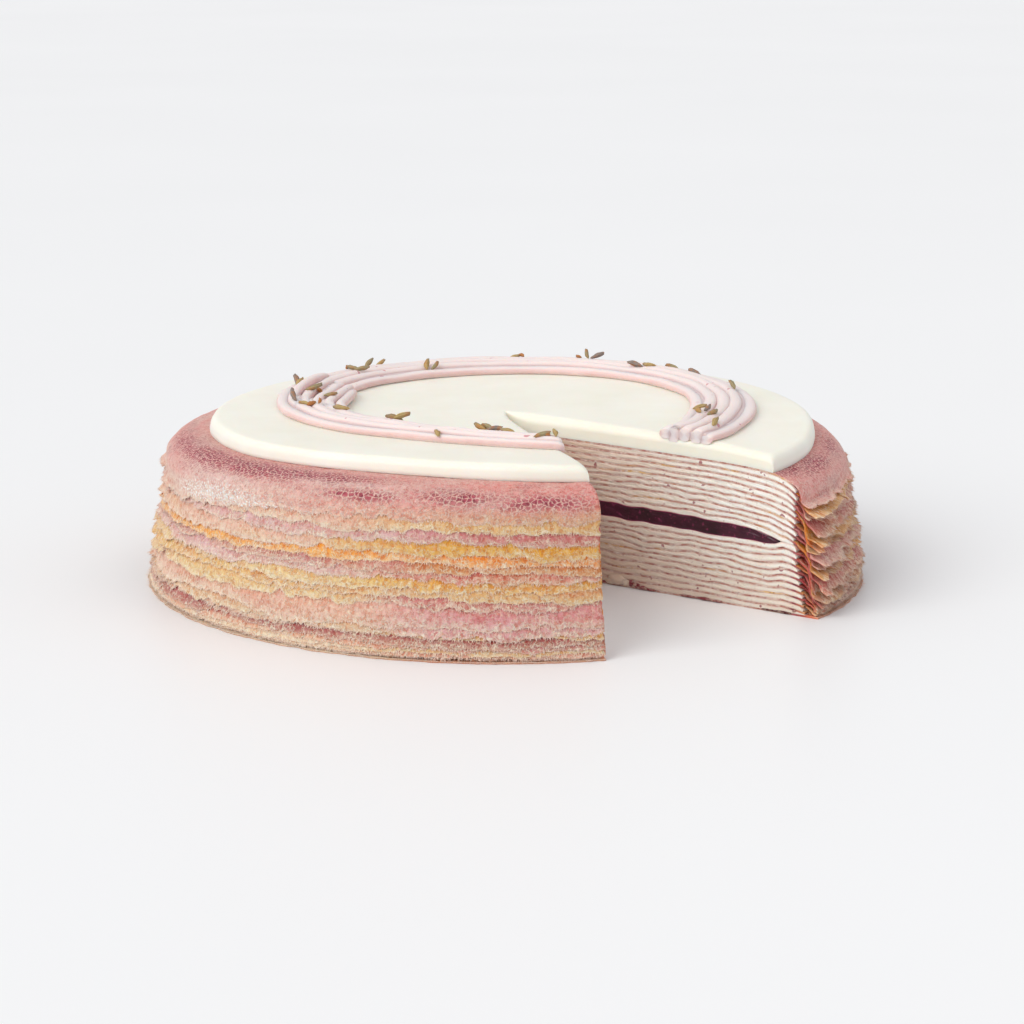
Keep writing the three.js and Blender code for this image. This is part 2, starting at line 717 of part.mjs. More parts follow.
/** The prism that the two knife cuts took out, taller than the cake. */
function cutPrism() {
  const far = 3 * FOOT_RADIUS;
  const corner = (phi) =>
    new THREE.Vector2(
      CUT_APEX.x + far * Math.cos(radians(phi)),
      CUT_APEX.y + far * Math.sin(radians(phi)),
    );
  const outline = new THREE.Shape([CUT_APEX.clone(), corner(LEFT_CUT), corner(RIGHT_CUT + 360)]);
  return new THREE.ExtrudeGeometry(outline, { depth: FOOT_RADIUS, bevelEnabled: false });
}

function pipingGeometry() {
  const { over, under } = WREATH_OVERLAP;
  let wreath = solidOf(bandGeometry(WREATH_JOIN + over, WREATH_FRONT.from, END_TAPER, 1));
  wreath = wreath.add(solidOf(bandGeometry(WREATH_FRONT.to, WREATH_JOIN - under, 1, END_TAPER)));
  for (const strand of crossingStrands()) wreath = wreath.add(solidOf(strand));
  wreath = wreath.subtract(solidOf(cutPrism()));
  for (const bud of budGeometries()) wreath = wreath.add(solidOf(bud));
  return geometryOf(largestBody(wreath));
}

// ---------------------------------------------------------------- materials and assembly

const finish = (color, roughness) =>
  new THREE.MeshStandardMaterial({ color, roughness, metalness: 0 });

const MATERIALS = {
  crepeRose: finish(0xc08a8c, 0.6),
  crepeGold: finish(0xd9ab6c, 0.6),
  cream: finish(0xf1ece2, 0.55),
  jelly: finish(0x2b0f1a, 0.25),
  icing: finish(0xf3f0e4, 0.45),
  piping: finish(0xecd3d6, 0.5),
};
const GOLD_EVERY = 3; // every third crepe is golden rather than rose

const cake = new THREE.Group();

function addPiece(name, geometry, material) {
  geometry.computeVertexNormals();
  const mesh = new THREE.Mesh(geometry, material);
  mesh.name = name;
  cake.add(mesh);
}

const twoDigits = (k) => String(k).padStart(2, "0");

addPiece("crepe_01", topCrepeGeometry(), MATERIALS.crepeRose);
for (let k = 2; k <= CREPE_COUNT; k++) {
  const material = k % GOLD_EVERY === 2 ? MATERIALS.crepeGold : MATERIALS.crepeRose;
  addPiece("crepe_" + twoDigits(k), crepeGeometry(k), material);
}
for (let k = 1; k <= CREPE_COUNT; k++) {
  addPiece("cream_" + twoDigits(k), creamGeometry(k), MATERIALS.cream);
}
addPiece("jelly", jellyGeometry(), MATERIALS.jelly);
addPiece("icing", icingGeometry(), MATERIALS.icing);
addPiece("piping", pipingGeometry(), MATERIALS.piping);

export default cake;
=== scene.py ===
"""A crepe cake with a wedge cut out, dressed round its CAD solids.

Lengths in this file are millimetres, turned into Blender's metres where a mesh is made. Directions are
degrees about +Z, of rays that leave the apex of the cut, or the wreath's centre where it says so.
"""

import json
import math

import bpy
import numpy as np
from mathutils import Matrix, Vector
from mathutils.bvhtree import BVHTree


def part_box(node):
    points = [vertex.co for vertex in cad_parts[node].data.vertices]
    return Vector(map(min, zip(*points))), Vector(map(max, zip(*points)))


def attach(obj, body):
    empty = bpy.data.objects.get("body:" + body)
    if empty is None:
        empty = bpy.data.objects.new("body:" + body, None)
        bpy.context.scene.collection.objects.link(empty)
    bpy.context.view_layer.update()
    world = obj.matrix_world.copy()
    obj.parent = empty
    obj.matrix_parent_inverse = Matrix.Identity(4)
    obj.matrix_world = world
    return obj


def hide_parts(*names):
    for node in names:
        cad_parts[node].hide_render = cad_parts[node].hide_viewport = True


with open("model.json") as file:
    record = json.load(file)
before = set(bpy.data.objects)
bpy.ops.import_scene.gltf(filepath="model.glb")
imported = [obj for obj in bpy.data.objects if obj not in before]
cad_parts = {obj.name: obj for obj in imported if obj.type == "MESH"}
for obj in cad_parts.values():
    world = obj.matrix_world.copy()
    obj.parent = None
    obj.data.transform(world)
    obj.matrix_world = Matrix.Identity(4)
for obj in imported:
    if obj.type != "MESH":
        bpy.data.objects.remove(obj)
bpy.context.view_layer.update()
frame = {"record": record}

MM = 0.001

# ---------------------------------------------------------------- driving dimensions

FOOT_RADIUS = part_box("crepe_21")[1].y / MM
CREPE_COUNT = 21
CREPES_ABOVE = 10
CREPE_THICKNESS = 0.55
RIM_THICKNESS = 0.28
RIM_EDGE_THICKNESS = 0.13
SEAM = 0.03  # left open between a crepe and its cream

CUT_APEX = np.array([-0.3, 2.2])
RIGHT_CUT = -35.45
LEFT_CUT = 284.4

# The top of the stack lifts towards its edge and droops over its shoulder.
STACK_HEIGHT = 45.0
SHOULDER_DROP = 2.6
SHOULDER_DROP_RIGHT = 1.4
SHOULDER_RADIUS = 104.8
SHOULDER_POWER = 30
SHOULDER_POWER_RIGHT = 16
LIFT_RADIUS = 90.0
LIFT = 1.8
LIFT_RIGHT = -3.0  # so beside the right-hand cut it falls
LIFT_RIGHT_WIDTH = 38.0
LIFT_FRONT = 1.9
LIFT_FRONT_AT = 260.0
LIFT_FRONT_WIDTH = 45.0

JELLY_RADIUS = 100.0
JELLY_THICKNESS = 4.6
JELLY_BOTTOM = 22.65
JELLY_SAG = 3.0
JELLY_LIFT_SHARE = 0.25
JELLY_ROUND_POWER = 10
JELLY_TIP_RISE = 0.55  # share of the thickness lost at the tip that is lost below

CREAM_RADIUS = 104.4
CREAM_SPREAD = 3.8  # and further out towards the foot
CREAM_SPREAD_FROM = 24.0
CREAM_BULGE = 0.8
SHEET_BEND = 102.4  # radius from which a crepe slopes to its bend
SHOULDER_OUT = 1.5  # how far outside its cream that bend lies
SHOULDER_SINK = 1.1  # and how far below the crepe's flat part

# The side of the cake: the outline that the outermost rims hang on, and the rims themselves.
SIDE_RADIUS = 108.2  # of the outline's upper half
SIDE_SPREAD_FROM = 38.0  # height below which it spreads towards the foot
SIDE_SPREAD_POWER = 1.5
SIDE_INSET = 0.25  # its waves lie this far in, on average
# How far each rim hangs down, from the top one to the last but one.
RIM_DROPS = (
    5.2, 6.6, 6.9, 8.7, 9.2, 8.8, 8.8, 9.3, 9.3, 9.9,
    11.3, 11.0, 10.1, 9.5, 8.9, 8.0, 6.9, 5.6, 3.8, 1.9,
)
TOP_RIM_LONGER = (4.6, 203, 20)  # the top one hangs lower at the left: by, at, width
RIM_SPACING = 0.32  # from one hanging rim to the next one behind it
RIM_STEP = 2.3  # height over which a rim comes forward below the one above it
RIM_BEND_FALL = 2.6  # height over which a rim comes out from its bend to the outline
RIM_RAGGED = 0.65
RIM_RAGGED_FOOT = 0.2  # for rims that reach the foot
RIM_REST = 0.4  # rims that reach the foot end this far above it
RIM_FLARE_RIGHT = 1.9  # torn edges lie close to the rim behind, but lift outwards on the right
RIM_FLARE_WIDTH = 50.0
RIM_FLARE_HEIGHT = 3.2
RIM_FLARE_LEFT = (1.2, 186, 22)  # and at the left: by, at, width
RIM_SPLAY = 2.4  # and they stand off further beside the right-hand cut
RIM_SPLAY_WIDTH = 9.0
RIM_SPLAY_HEIGHT = 10.0
RIM_PULL = 1.0  # degrees by which torn rims stand back from the right-hand cut
RIM_PULL_WIDTH = 4.0
RIM_PULL_LEFT = 0.4  # degrees by which they stand back from the left-hand one
RIM_PULL_LEFT_WIDTH = 3.0

ICING_RADIUS = 95.8
ICING_SHIFT = (2.3, 0.5)
ICING_DENT = 5.5
ICING_DENT_AT = 246.0
ICING_DENT_WIDTH = 26.0
ICING_THICKNESS = 6.0
ICING_EDGE_THICKNESS = 5.0
ICING_ROUND = 2.7
ICING_LIP = 2.6  # rounding of its top along the cuts
ICING_LIP_INSIDE = 3.0  # and nearer the apex

WREATH_CENTRE = (3.0, 11.0)
WREATH_RADIUS = 67.0
WREATH_BENDS = ((-5.5, 232, 30), (7.0, 285, 16), (3.5, 320, 14))  # by, at, width
WREATH_STRANDS = 5
STRAND_PITCH = 4.1  # from one strand to the next
STRAND_PITCH_FRONT = 2.6
WREATH_CLOSEST = (268, 45)  # where its strands lie closest: direction and width
STRAND_HEIGHT = 3.75
WREATH_JOIN = 160.0  # where its two bands meet, at the back left
WREATH_FAR_RIGHT = -62.0  # each band is made to this place in the wedge, and then cut off
WREATH_FAR_LEFT = 300.0

SIDE_COLUMNS = 560  # columns round the cake on each hanging rim
TOP_COLUMNS = 900
CREAM_COLUMNS = 96
CREAM_ROWS = 4  # rows of quads down each cut face
CREAM_RELIEF = 0.16
JELLY_ROWS = 8
JELLY_RELIEF = 0.14
ICING_COLUMNS = 360
RING_RADIUS = 88.0  # inside this radius a layer is seen only at the cut
CUT_POINTS = 60  # along each cut face, out to that radius


# ---------------------------------------------------------------- numbers


def lerp(a, b, t):
    return a + (b - a) * t


def smoothstep(x, low=0.0, high=1.0):
    t = np.clip((x - low) / (high - low), 0.0, 1.0)
    return t * t * (3 - 2 * t)


def stacked(*parts):
    """The parts side by side along a last axis, spread to one shape."""
    return np.stack(np.broadcast_arrays(*parts), axis=-1)


def round_the_cake(count):
    """The directions of this many columns, from one cut round to the other."""
    return np.linspace(RIGHT_CUT, LEFT_CUT, count)


def columnwise(phi, grid):
    """The directions of the columns, spread over a grid of that many columns."""
    return np.broadcast_to(phi[:, None], grid.shape)


def step_along(degrees, length=1.0):
    """x and y of a step of this length."""
    turn = np.radians(degrees)
    return length * np.cos(turn), length * np.sin(turn)


def bump(phi, at, width):
    """A bump of height 1 round `at`, in degrees."""
    away = (phi - at + 540) % 360 - 180
    return np.exp(-((away / width) ** 2))


def lattice(ix, iy, iz, seed):
    """A repeatable number from -1 to 1 for each lattice point."""
    h = (ix * 374761393 + iy * 668265263 + iz * 362437 + seed * 144269) & 0xFFFFFFFF
    h = ((h ^ (h >> 13)) * 1274126177) & 0xFFFFFFFF
    return ((h ^ (h >> 16)) & 0xFFFF) / 32767.5 - 1


def noise(x, y=0.0, z=0.0, seed=0):
    """Smooth noise from -1 to 1, one unit from bump to bump."""
    x, y, z = np.broadcast_arrays(*(np.asarray(v, float) for v in (x, y, z)))
    cell = [np.floor(v).astype(np.int64) for v in (x, y, z)]
    share = [smoothstep(v - c) for v, c in zip((x, y, z), cell)]
    total = np.zeros(x.shape)
    for corner in range(8):
        step = [(corner >> axis) & 1 for axis in range(3)]
        weight = np.ones(x.shape)
        for s, t in zip(step, share):
            weight = weight * (t if s else 1 - t)
        total += weight * lattice(*(c + s for c, s in zip(cell, step)), seed)
    return total


def rough(x, y=0.0, z=0.0, seed=0):
    """Noise with finer noise on it."""
    total = 0.0
    for octave in range(3):
        f = 2.1**octave
        total = total + noise(x * f, y * f, z * f, seed + 17 * octave) / 1.8**octave
    return total


# ---------------------------------------------------------------- the cake's form


def reach(phi, r):
    """Distance from the apex of the cut to the circle of radius r round the origin, along phi."""
    x, y = step_along(phi)
    along = CUT_APEX[0] * x + CUT_APEX[1] * y
    return -along + np.sqrt(np.maximum(r * r - CUT_APEX @ CUT_APEX + along * along, 0))


def points_at(phi, r, z, distance=reach):
    """Points at radius r and height z on the rays that leave the apex along phi."""
    x, y = step_along(phi, distance(phi, r))
    return stacked(CUT_APEX[0] + x, CUT_APEX[1] + y, z)


def along_rim(phi):
    """Millimetres round the side of the cake."""
    return np.radians(phi) * SIDE_RADIUS


def near_right_cut(phi, width=LIFT_RIGHT_WIDTH):
    """1 at the right-hand cut, less along the rim."""
    return np.exp(-(((phi - RIGHT_CUT) / width) ** 2))


def edge_lift(phi):
    front = LIFT_FRONT * bump(phi, LIFT_FRONT_AT, LIFT_FRONT_WIDTH)
    return LIFT + LIFT_RIGHT * near_right_cut(phi) + front


def stack_top(phi, r):
    near = near_right_cut(phi)
    power = lerp(SHOULDER_POWER, SHOULDER_POWER_RIGHT, near)
    droop = (SHOULDER_DROP + SHOULDER_DROP_RIGHT * near) * (r / SHOULDER_RADIUS) ** power
    return STACK_HEIGHT - droop + edge_lift(phi) * np.minimum(r / LIFT_RADIUS, 1) ** 2


def jelly_bottom(phi, r):
    lift = JELLY_LIFT_SHARE * edge_lift(phi) * (r / LIFT_RADIUS) ** 2
    return JELLY_BOTTOM - JELLY_SAG * (r / SHOULDER_RADIUS) ** 3 + lift


def jelly_thickness(r):
    return JELLY_THICKNESS * np.sqrt(np.maximum(0, 1 - (r / JELLY_RADIUS) ** JELLY_ROUND_POWER))


def jelly_floor(phi, r):
    """The jelly's underside, which rises to meet its top at the tip."""
    return jelly_bottom(phi, r) + JELLY_TIP_RISE * (JELLY_THICKNESS - jelly_thickness(r))


def layer_wave(k, phi, r):
    """The layers undulate a little, neighbours much alike; the topmost and the lowest are flat."""
    x, y = step_along(phi, reach(phi, r))
    broad = 1.15 * noise(x / 15, y / 15, k / 3.4, seed=3)
    fine = 0.55 * noise(x / 4.4, y / 4.4, k / 1.2, seed=4)
    free = math.sin(math.pi * min(max((k - 1) / CREPE_COUNT, 0), 1))
    return free * (broad + fine) * smoothstep(r, 2, 12) * (1 - smoothstep(r, 99, 104))


def crepe_top(k, phi, r):
    """Height of the upper face of crepe k, counted from 1 at the top."""
    if k <= CREPES_ABOVE:
        top = stack_top(phi, r)
        pitch = (top - jelly_floor(phi, r) - jelly_thickness(r)) / CREPES_ABOVE
        height = top - (k - 1) * pitch
    else:
        pitch = jelly_floor(phi, r) / (CREPE_COUNT - CREPES_ABOVE)
        height = CREPE_THICKNESS + (CREPE_COUNT - k) * pitch
    return height + layer_wave(k, phi, r)


def jelly_face(phi, r, upper):
    """The jelly's upper or lower face, and outside the jelly the seam where its two creams meet."""
    wave = layer_wave(CREPES_ABOVE + 0.5, phi, r)
    return jelly_floor(phi, r) + wave + (jelly_thickness(r) if upper else 0)


def cream_radius(k, phi):
    z = crepe_top(k, phi, SHOULDER_RADIUS)
    spread = 1 - smoothstep(z, 0, CREAM_SPREAD_FROM)
    uneven = 0.3 * np.sin(np.radians(3 * phi) + 2 * k) + 0.45 * noise(phi / 12, k * 2.7, seed=5)
    return CREAM_RADIUS + CREAM_SPREAD * spread + uneven


# ---------------------------------------------------------------- hanging rims


def side_radius(phi, z):
    """The outline that the outermost rims hang on."""
    fall = np.clip(1 - z / SIDE_SPREAD_FROM, 0, 1) ** SIDE_SPREAD_POWER
    plain = SIDE_RADIUS + (FOOT_RADIUS - SIDE_RADIUS) * fall
    s = along_rim(phi)
    wave = 0.5 * noise(s / 30, z / 9, seed=11) + 0.3 * noise(s / 9, z / 5, seed=12)
    return plain + wave * smoothstep(z, 0, 6) - SIDE_INSET


def bend_of(k, phi):
    """Radius and height at which crepe k turns down over its cream."""
    z = crepe_top(k, phi, SHOULDER_RADIUS) - SHOULDER_SINK
    return cream_radius(k, phi) + SHOULDER_OUT, np.maximum(z, RIM_REST)


def smooth_tip(k, phi):
    """Height of the edge of rim k without its tears."""
    s = along_rim(phi)
    longer = 1 + 0.1 * noise(s / 45, k * 5.3, seed=21) + 0.1 * noise(s / 14, k * 3.7, seed=22)
    drop = RIM_DROPS[k - 1] * longer
    if k == 1:
        by, at, width = TOP_RIM_LONGER
        drop = drop + by * bump(phi, at, width)
    rest = RIM_REST + 0.25 * (CREPE_COUNT - k) * (1 + 0.25 * noise(s / 20, k * 2.9, seed=23))
    _, bend_z = bend_of(k, phi)
    return np.maximum(bend_z - drop, np.minimum(rest, bend_z - 0.2))


def torn_tip(k, phi):
    s = along_rim(phi)
    uneven = noise(s / 6, k * 4.1, seed=31) + 0.7 * noise(s / 2.3, k * 4.1, seed=32)
    uneven = uneven + 0.6 * noise(s / 0.9, k * 4.1, seed=33)
    tears = np.maximum(0, noise(s / 3.1, k * 6.7, seed=34) - 0.45) * 2.2
    low = 0.25 + 0.1 * (CREPE_COUNT - k)
    _, bend_z = bend_of(k, phi)
    level = smooth_tip(k, phi)
    ragged = lerp(RIM_RAGGED_FOOT, RIM_RAGGED, smoothstep(level, 0.5, 5))
    tip = level + ragged * uneven + tears * ragged / RIM_RAGGED
    return np.clip(tip, np.minimum(low, bend_z - 0.1), bend_z - 0.1)


def covering(k, phi, z):
    """How many rims hang in front of rim k at height z."""
    count = np.zeros(z.shape)
    for j in range(1, k):
        count += smoothstep(z - smooth_tip(j, phi), -RIM_STEP, 0.1)
    return count


def rim_flare(phi):
    by, at, width = RIM_FLARE_LEFT
    return RIM_FLARE_RIGHT * near_right_cut(phi, RIM_FLARE_WIDTH) + by * bump(phi, at, width)


SKIRT_ROWS = np.array([0, 0.1, 0.24, 0.42, 0.6, 0.77, 0.9, 1.0])  # from a rim's bend to its edge


def covered_to(k, phi):
    """Height down to which the rims in front hide rim k."""
    tips = [torn_tip(j, phi) for j in range(1, k)]
    return np.min(tips, axis=0) if tips else np.full(phi.shape, STACK_HEIGHT)


def skirt(k, phi):
    """The outer face of rim k below its bend: radii and heights, one row after another."""
    bend_r, bend_z = bend_of(k, phi)
    tip = torn_tip(k, phi)
    z = bend_z[:, None] + (tip - bend_z)[:, None] * SKIRT_ROWS
    wide_phi = columnwise(phi, z)
    cover = covering(k, wide_phi, z)
    s = along_rim(wide_phi)
    hang = side_radius(wide_phi, z) - RIM_SPACING * cover
    hang = hang + 0.1 * noise(s / 2.5, z / 3, k * 3.3, seed=41)
    free = np.clip(1 - cover, 0, 1)
    above_tip = z - tip[:, None]
    flare = rim_flare(wide_phi) * np.clip(1 - above_tip / RIM_FLARE_HEIGHT, 0, 1) ** 2
    flare = flare * (1 + 0.9 * noise(s / 3.2, k * 7.1, seed=42))
    lifted = np.clip(1 - above_tip / RIM_SPLAY_HEIGHT, 0, 1) ** 1.5
    splay = RIM_SPLAY * near_right_cut(wide_phi, RIM_SPLAY_WIDTH) * lifted
    hang = hang + free * (flare + splay) * smoothstep(z, 0.5, 8)
    below = smoothstep(bend_z[:, None] - z, 0, RIM_BEND_FALL)
    return lerp(np.broadcast_to(bend_r[:, None], z.shape), hang, below), z


def pulled_back(k, phi, z):
    """Directions of the points of rim k, which stands back from the cuts where it is torn."""
    torn = 0.35 + noise(z / 2.6, k * 3.7, seed=45) + 0.5 * noise(z / 1.1, k * 2.9, seed=46)
    torn_left = 0.25 + noise(z / 1.7, k * 4.3, seed=47) + 0.5 * noise(z / 0.8, k * 2.3, seed=48)
    beside = np.clip(1 - (phi - RIGHT_CUT) / RIM_PULL_WIDTH, 0, 1)
    beside_left = np.clip(1 - (LEFT_CUT - phi) / RIM_PULL_LEFT_WIDTH, 0, 1)
    back_right = RIM_PULL * np.clip(torn, 0, 1.2) * beside
    back_left = RIM_PULL_LEFT * np.clip(torn_left, 0, 1) * beside_left
    return phi + back_right - back_left


# ---------------------------------------------------------------- meshes

# The grid column on each cut, right then left, and the sense of its faces.
BOTH_CUTS = ((0, 1), (-1, -1))
UNDERSIDE_SHADE = np.array([0.8, 0.5, 0.42])  # painted shade: a rim's inner face is darker and warmer, as in its own shadow
UNDERSIDE_SHEET = np.array([0.0, 6.0, 0.0])  # and looks like skin this far up from the lace at its edge


def cut_frame(angle, sense):
    """Unit vectors along a cut, away from the apex, and out of the cake."""
    turn = math.radians(angle)
    along = np.array([math.cos(turn), math.sin(turn), 0.0])
    return along, np.array([math.sin(turn), -math.cos(turn), 0.0]) * sense


class Solid:
    """Vertices and triangles of one piece, gathered block by block."""

    def __init__(self):
        self.points, self.slices, self.sheets, self.tints = [], [], [], []
        self.faces, self.cut = [], []
        self.count = 0

    def add(self, points, slices, sheets=(0.0, 0.0, 0.0), tints=(0.0, 0.0, 0.0)):
        """Adds a block of vertices and returns their numbers in the block's own shape."""
        shape = points.shape[:-1]
        numbers = self.count + np.arange(int(np.prod(shape))).reshape(shape)
        self.count += numbers.size
        gathered = (self.points, self.slices, self.sheets, self.tints)
        for values, block in zip((points, slices, sheets, tints), gathered):
            block.append(np.broadcast_to(values, points.shape).reshape(-1, 3))
        return numbers

    def triangles(self, a, b, c, sense=1, cut=False):
        """Triangles that face the viewer who sees a, b, c run anticlockwise, or away if sense is -1."""
        corners = np.broadcast_arrays(a, b, c)[::sense]
        self.faces.append(np.stack([corner.ravel() for corner in corners], axis=1))
        self.cut.append(np.full(len(self.faces[-1]), cut))

    def quads(self, a, b, c, d, sense=1, cut=False):
        self.triangles(a, b, c, sense, cut)
        self.triangles(a, c, d, sense, cut)

    def shell(self, upper, lower):
        """Two grids of points, one over the other, and the strip that joins their last columns.

        Each is (points, slices, sheets, tints). The strip has points of its own: smooth shading round so
        sharp a turn would darken the rim above it.
        """
        grids, edges = [], []
        for points, *others in (upper, lower):
            others = [np.broadcast_to(values, points.shape) for values in others]
            grids.append(self.add(points, *others))
            edges.append(self.add(points[:, -1], *(values[:, -1] for values in others)))
        (top, bottom), (top_edge, bottom_edge) = grids, edges
        self.quads(top[:-1, :-1], top[:-1, 1:], top[1:, 1:], top[1:, :-1])
        self.quads(bottom[1:, :-1], bottom[1:, 1:], bottom[:-1, 1:], bottom[:-1, :-1])
        self.quads(bottom_edge[:-1], bottom_edge[1:], top_edge[1:], top_edge[:-1])
        return grids

    def cut_face(self, lines, sense):
        """A cut face between lines of points, from the top down."""
        for a, b in zip(lines[:-1], lines[1:]):
            self.quads(a[:-1], b[:-1], b[1:], a[1:], sense, cut=True)

    def piece(self, name, materials, slot, node=None):
        """The finished piece. Its materials are the skin's and the cut faces'."""
        cut = np.concatenate(self.cut)
        gathered = {"slice": self.slices, "sheet": self.sheets, "tint": self.tints}
        attributes = {key: np.concatenate(blocks) for key, blocks in gathered.items()}
        points, faces = np.concatenate(self.points), np.concatenate(self.faces)
        return placed(mesh_object(name, points, faces, materials, attributes, ~cut, cut), node)


def tube_faces(rows, sides):
    """Triangles between the rings of a tube, and to the two points that close its start and its end."""
    ring = np.arange(rows * sides).reshape(rows, sides)
    follow = np.roll(ring, -1, axis=1)
    blocks = (
        (ring[:-1], ring[1:], follow[:-1]),
        (follow[:-1], ring[1:], follow[1:]),
        (rows * sides, ring[0], follow[0]),
        (rows * sides + 1, follow[-1], ring[-1]),
    )
    return np.concatenate([stacked(*corners).reshape(-1, 3) for corners in blocks])


def joined(parts):
    """The parts' points, their faces counted on, and what else they hold, each end to end."""
    points, faces, *others = zip(*parts)
    starts = np.cumsum([0] + [len(block) for block in points[:-1]])
    faces = [block + start for block, start in zip(faces, starts)]
    return [np.concatenate(blocks) for blocks in (points, faces, *others)]


def mesh_object(name, points, faces, materials, attributes, smooth=True, slots=0):
    """A Blender object of triangles. `attributes` maps names to one vector for each vertex."""
    mesh = bpy.data.meshes.new(name)
    mesh.vertices.add(len(points))
    mesh.vertices.foreach_set("co", (points * MM).astype(np.float32).ravel())
    mesh.loops.add(3 * len(faces))
    mesh.loops.foreach_set("vertex_index", faces.astype(np.int32).ravel())
    mesh.polygons.add(len(faces))
    mesh.polygons.foreach_set("loop_start", 3 * np.arange(len(faces), dtype=np.int32))
    mesh.polygons.foreach_set("use_smooth", np.ones(len(faces), bool) & smooth)
    mesh.polygons.foreach_set("material_index", np.zeros(len(faces), np.int32) + slots)
    for key, values in attributes.items():
        layer = mesh.attributes.new(key, "FLOAT_VECTOR", "POINT")
        layer.data.foreach_set("vector", values.astype(np.float32).ravel())
    mesh.update(calc_edges=True)
    for material in materials:
        mesh.materials.append(material)
    made = bpy.data.objects.new(name, mesh)
    bpy.context.scene.collection.objects.link(made)
    return made


def placed(piece, node=None):
    """The piece, riding on the cake and standing for that CAD node if one is given."""
    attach(piece, "root")
    if node:
        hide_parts(node)
    return piece


def cut_layer(k, phi, upper, lower, face, relief=0.0, rows=1, tints=0.0, sheets=0.0, directions=None):
    """A layer between the two cut faces.

    `upper` and `lower` are (radii, heights) of its outer part, one row of the arrays for each column;
    `face(phi, r)` gives the heights (upper, lower) inside that part, where only the cuts show it.
    `relief` is how far the cut faces stand out and in. `directions` holds the direction of each point of
    the outer part, where a column doesn't keep to one.
    """
    solid = Solid()
    directions = columnwise(phi, upper[0]) if directions is None else directions
    # The lower face carries painted shade: its tints are made darker and warmer.
    skins = ((upper, 1.0, sheets, tints), (lower, 0.0, sheets + UNDERSIDE_SHEET, tints * UNDERSIDE_SHADE))
    grids = solid.shell(*(
        (points_at(directions, r, z), stacked(r, side, float(k)), *skin) for (r, z), side, *skin in skins
    ))
    # The hidden inside is a fan of triangles; the columns on the two cuts keep all their points.
    inner_r = np.linspace(0, RING_RADIUS, CUT_POINTS, endpoint=False)[1:]
    chains = {}
    for level, (grid, up) in enumerate(zip(grids, (1, -1))):
        apex_z = face(np.array([RIGHT_CUT]), np.array([0.01]))[level][0]
        apex = solid.add(np.array([[*CUT_APEX, apex_z]]), [0, 1 - level, k])[0]
        solid.triangles(apex, grid[1:-2, 0], grid[2:-1, 0], up)
        for column, sense in BOTH_CUTS:
            z = face(np.full(inner_r.shape, phi[column]), inner_r)[level]
            slices = stacked(inner_r, 1.0 - level, float(k))
            line = solid.add(points_at(phi[column], inner_r, z), slices)
            chain = np.concatenate([[apex], line, [grid[column, 0]]])
            beside = grid[1 if sense == 1 else -2, 0]
            solid.triangles(chain[:-1], chain[1:], beside, up * sense)
            chains[level, column] = np.concatenate([chain, grid[column, 1:]])

    # The cut faces, with rows of points between their upper and lower outlines.
    points, slices = np.concatenate(solid.points), np.concatenate(solid.slices)
    for column, sense in BOTH_CUTS:
        above, below = chains[0, column], chains[1, column]
        _, outward = cut_frame(phi[column], sense)
        height = points[above][:, 2] - points[below][:, 2]
        lines = [above]
        for share in np.arange(1, rows) / rows:
            place = lerp(points[above], points[below], share)
            parts = lerp(slices[above], slices[below], share)
            along = parts[:, 0]
            swell = 0.5 + rough(along / 2.2, place[:, 2] / 1.1, column, seed=51)
            room = smoothstep(height, 0.1, 1.0) * smoothstep(along, 0.5, 3)
            lines.append(solid.add(place + outward * (relief * swell * room)[:, None], parts))
        solid.cut_face([*lines, below], sense)
    return solid


# ---------------------------------------------------------------- colours


def linear(code):
    """A colour given as 0xRRGGBB, as it looks, in the renderer's linear values."""
    parts = np.array([(code >> shift) & 255 for shift in (16, 8, 0)]) / 255
    return np.where(parts <= 0.04045, parts / 12.92, ((parts + 0.055) / 1.055) ** 2.4)


ROSE = linear(0xCF8C86)
BLUSH = linear(0xE2BBB0)
LILAC = linear(0xD6ADB2)
MAUVE = linear(0xC48A8E)
PLUM = linear(0x9C3C4E)
SALMON = linear(0xE09C88)
GOLD = linear(0xE2B274)
STRAW = linear(0xE5C49A)
ORANGE = linear(0xF3A23A)
BROWN = linear(0xC98858)
TAN = linear(0xDFBAA2)
CHALK = linear(0xEFD3C1)
LACE = linear(0xF1D8BE)
FOOT_LINE = linear(0x9A4650)  # a dark line that runs round the cake just above its foot

# What each crepe's rim looks like, from the top down: round the left, beside the left-hand cut, at the right.
LEFT_TINTS = (
    ROSE, BLUSH, LILAC, BLUSH, ORANGE, MAUVE, LILAC, STRAW, GOLD, STRAW, BLUSH,
    TAN, BLUSH, PLUM, SALMON, CHALK, CHALK, BLUSH, CHALK, CHALK, CHALK,
)
CUT_TINTS = (
    ROSE, TAN, MAUVE, GOLD, ORANGE, BROWN, ROSE, GOLD, TAN, MAUVE, LILAC,
    LILAC, GOLD, PLUM, MAUVE, TAN, ROSE, PLUM, SALMON, TAN, SALMON,
)
RIGHT_TINTS = (
    ROSE, GOLD, LILAC, MAUVE, GOLD, ORANGE, TAN, LILAC, MAUVE, GOLD, MAUVE,
    ROSE, TAN, MAUVE, PLUM, PLUM, TAN, ROSE, TAN, TAN, SALMON,
)


def layered(colour, *layers):
    """The colour with others laid over it, each by its own share."""
    for over, share in layers:
        colour = lerp(colour, over, np.clip(share, 0, 1)[..., None])
    return colour


def richer(colour, share):
    """The same colour, more saturated by the share: pinks stay pink and yellows stay yellow."""
    red, green, blue = (colour[..., i : i + 1] for i in range(3))
    yellow = smoothstep((green - blue) / np.maximum(red - blue, 0.01), 0.05, 0.35)
    green = red * (green / red) ** (1 + share * lerp(0.55, 0.35, yellow))
    blue = red * (blue / red) ** (1 + share * lerp(0.55, 1.0, yellow))
    return np.concatenate([red, green, blue], axis=-1)


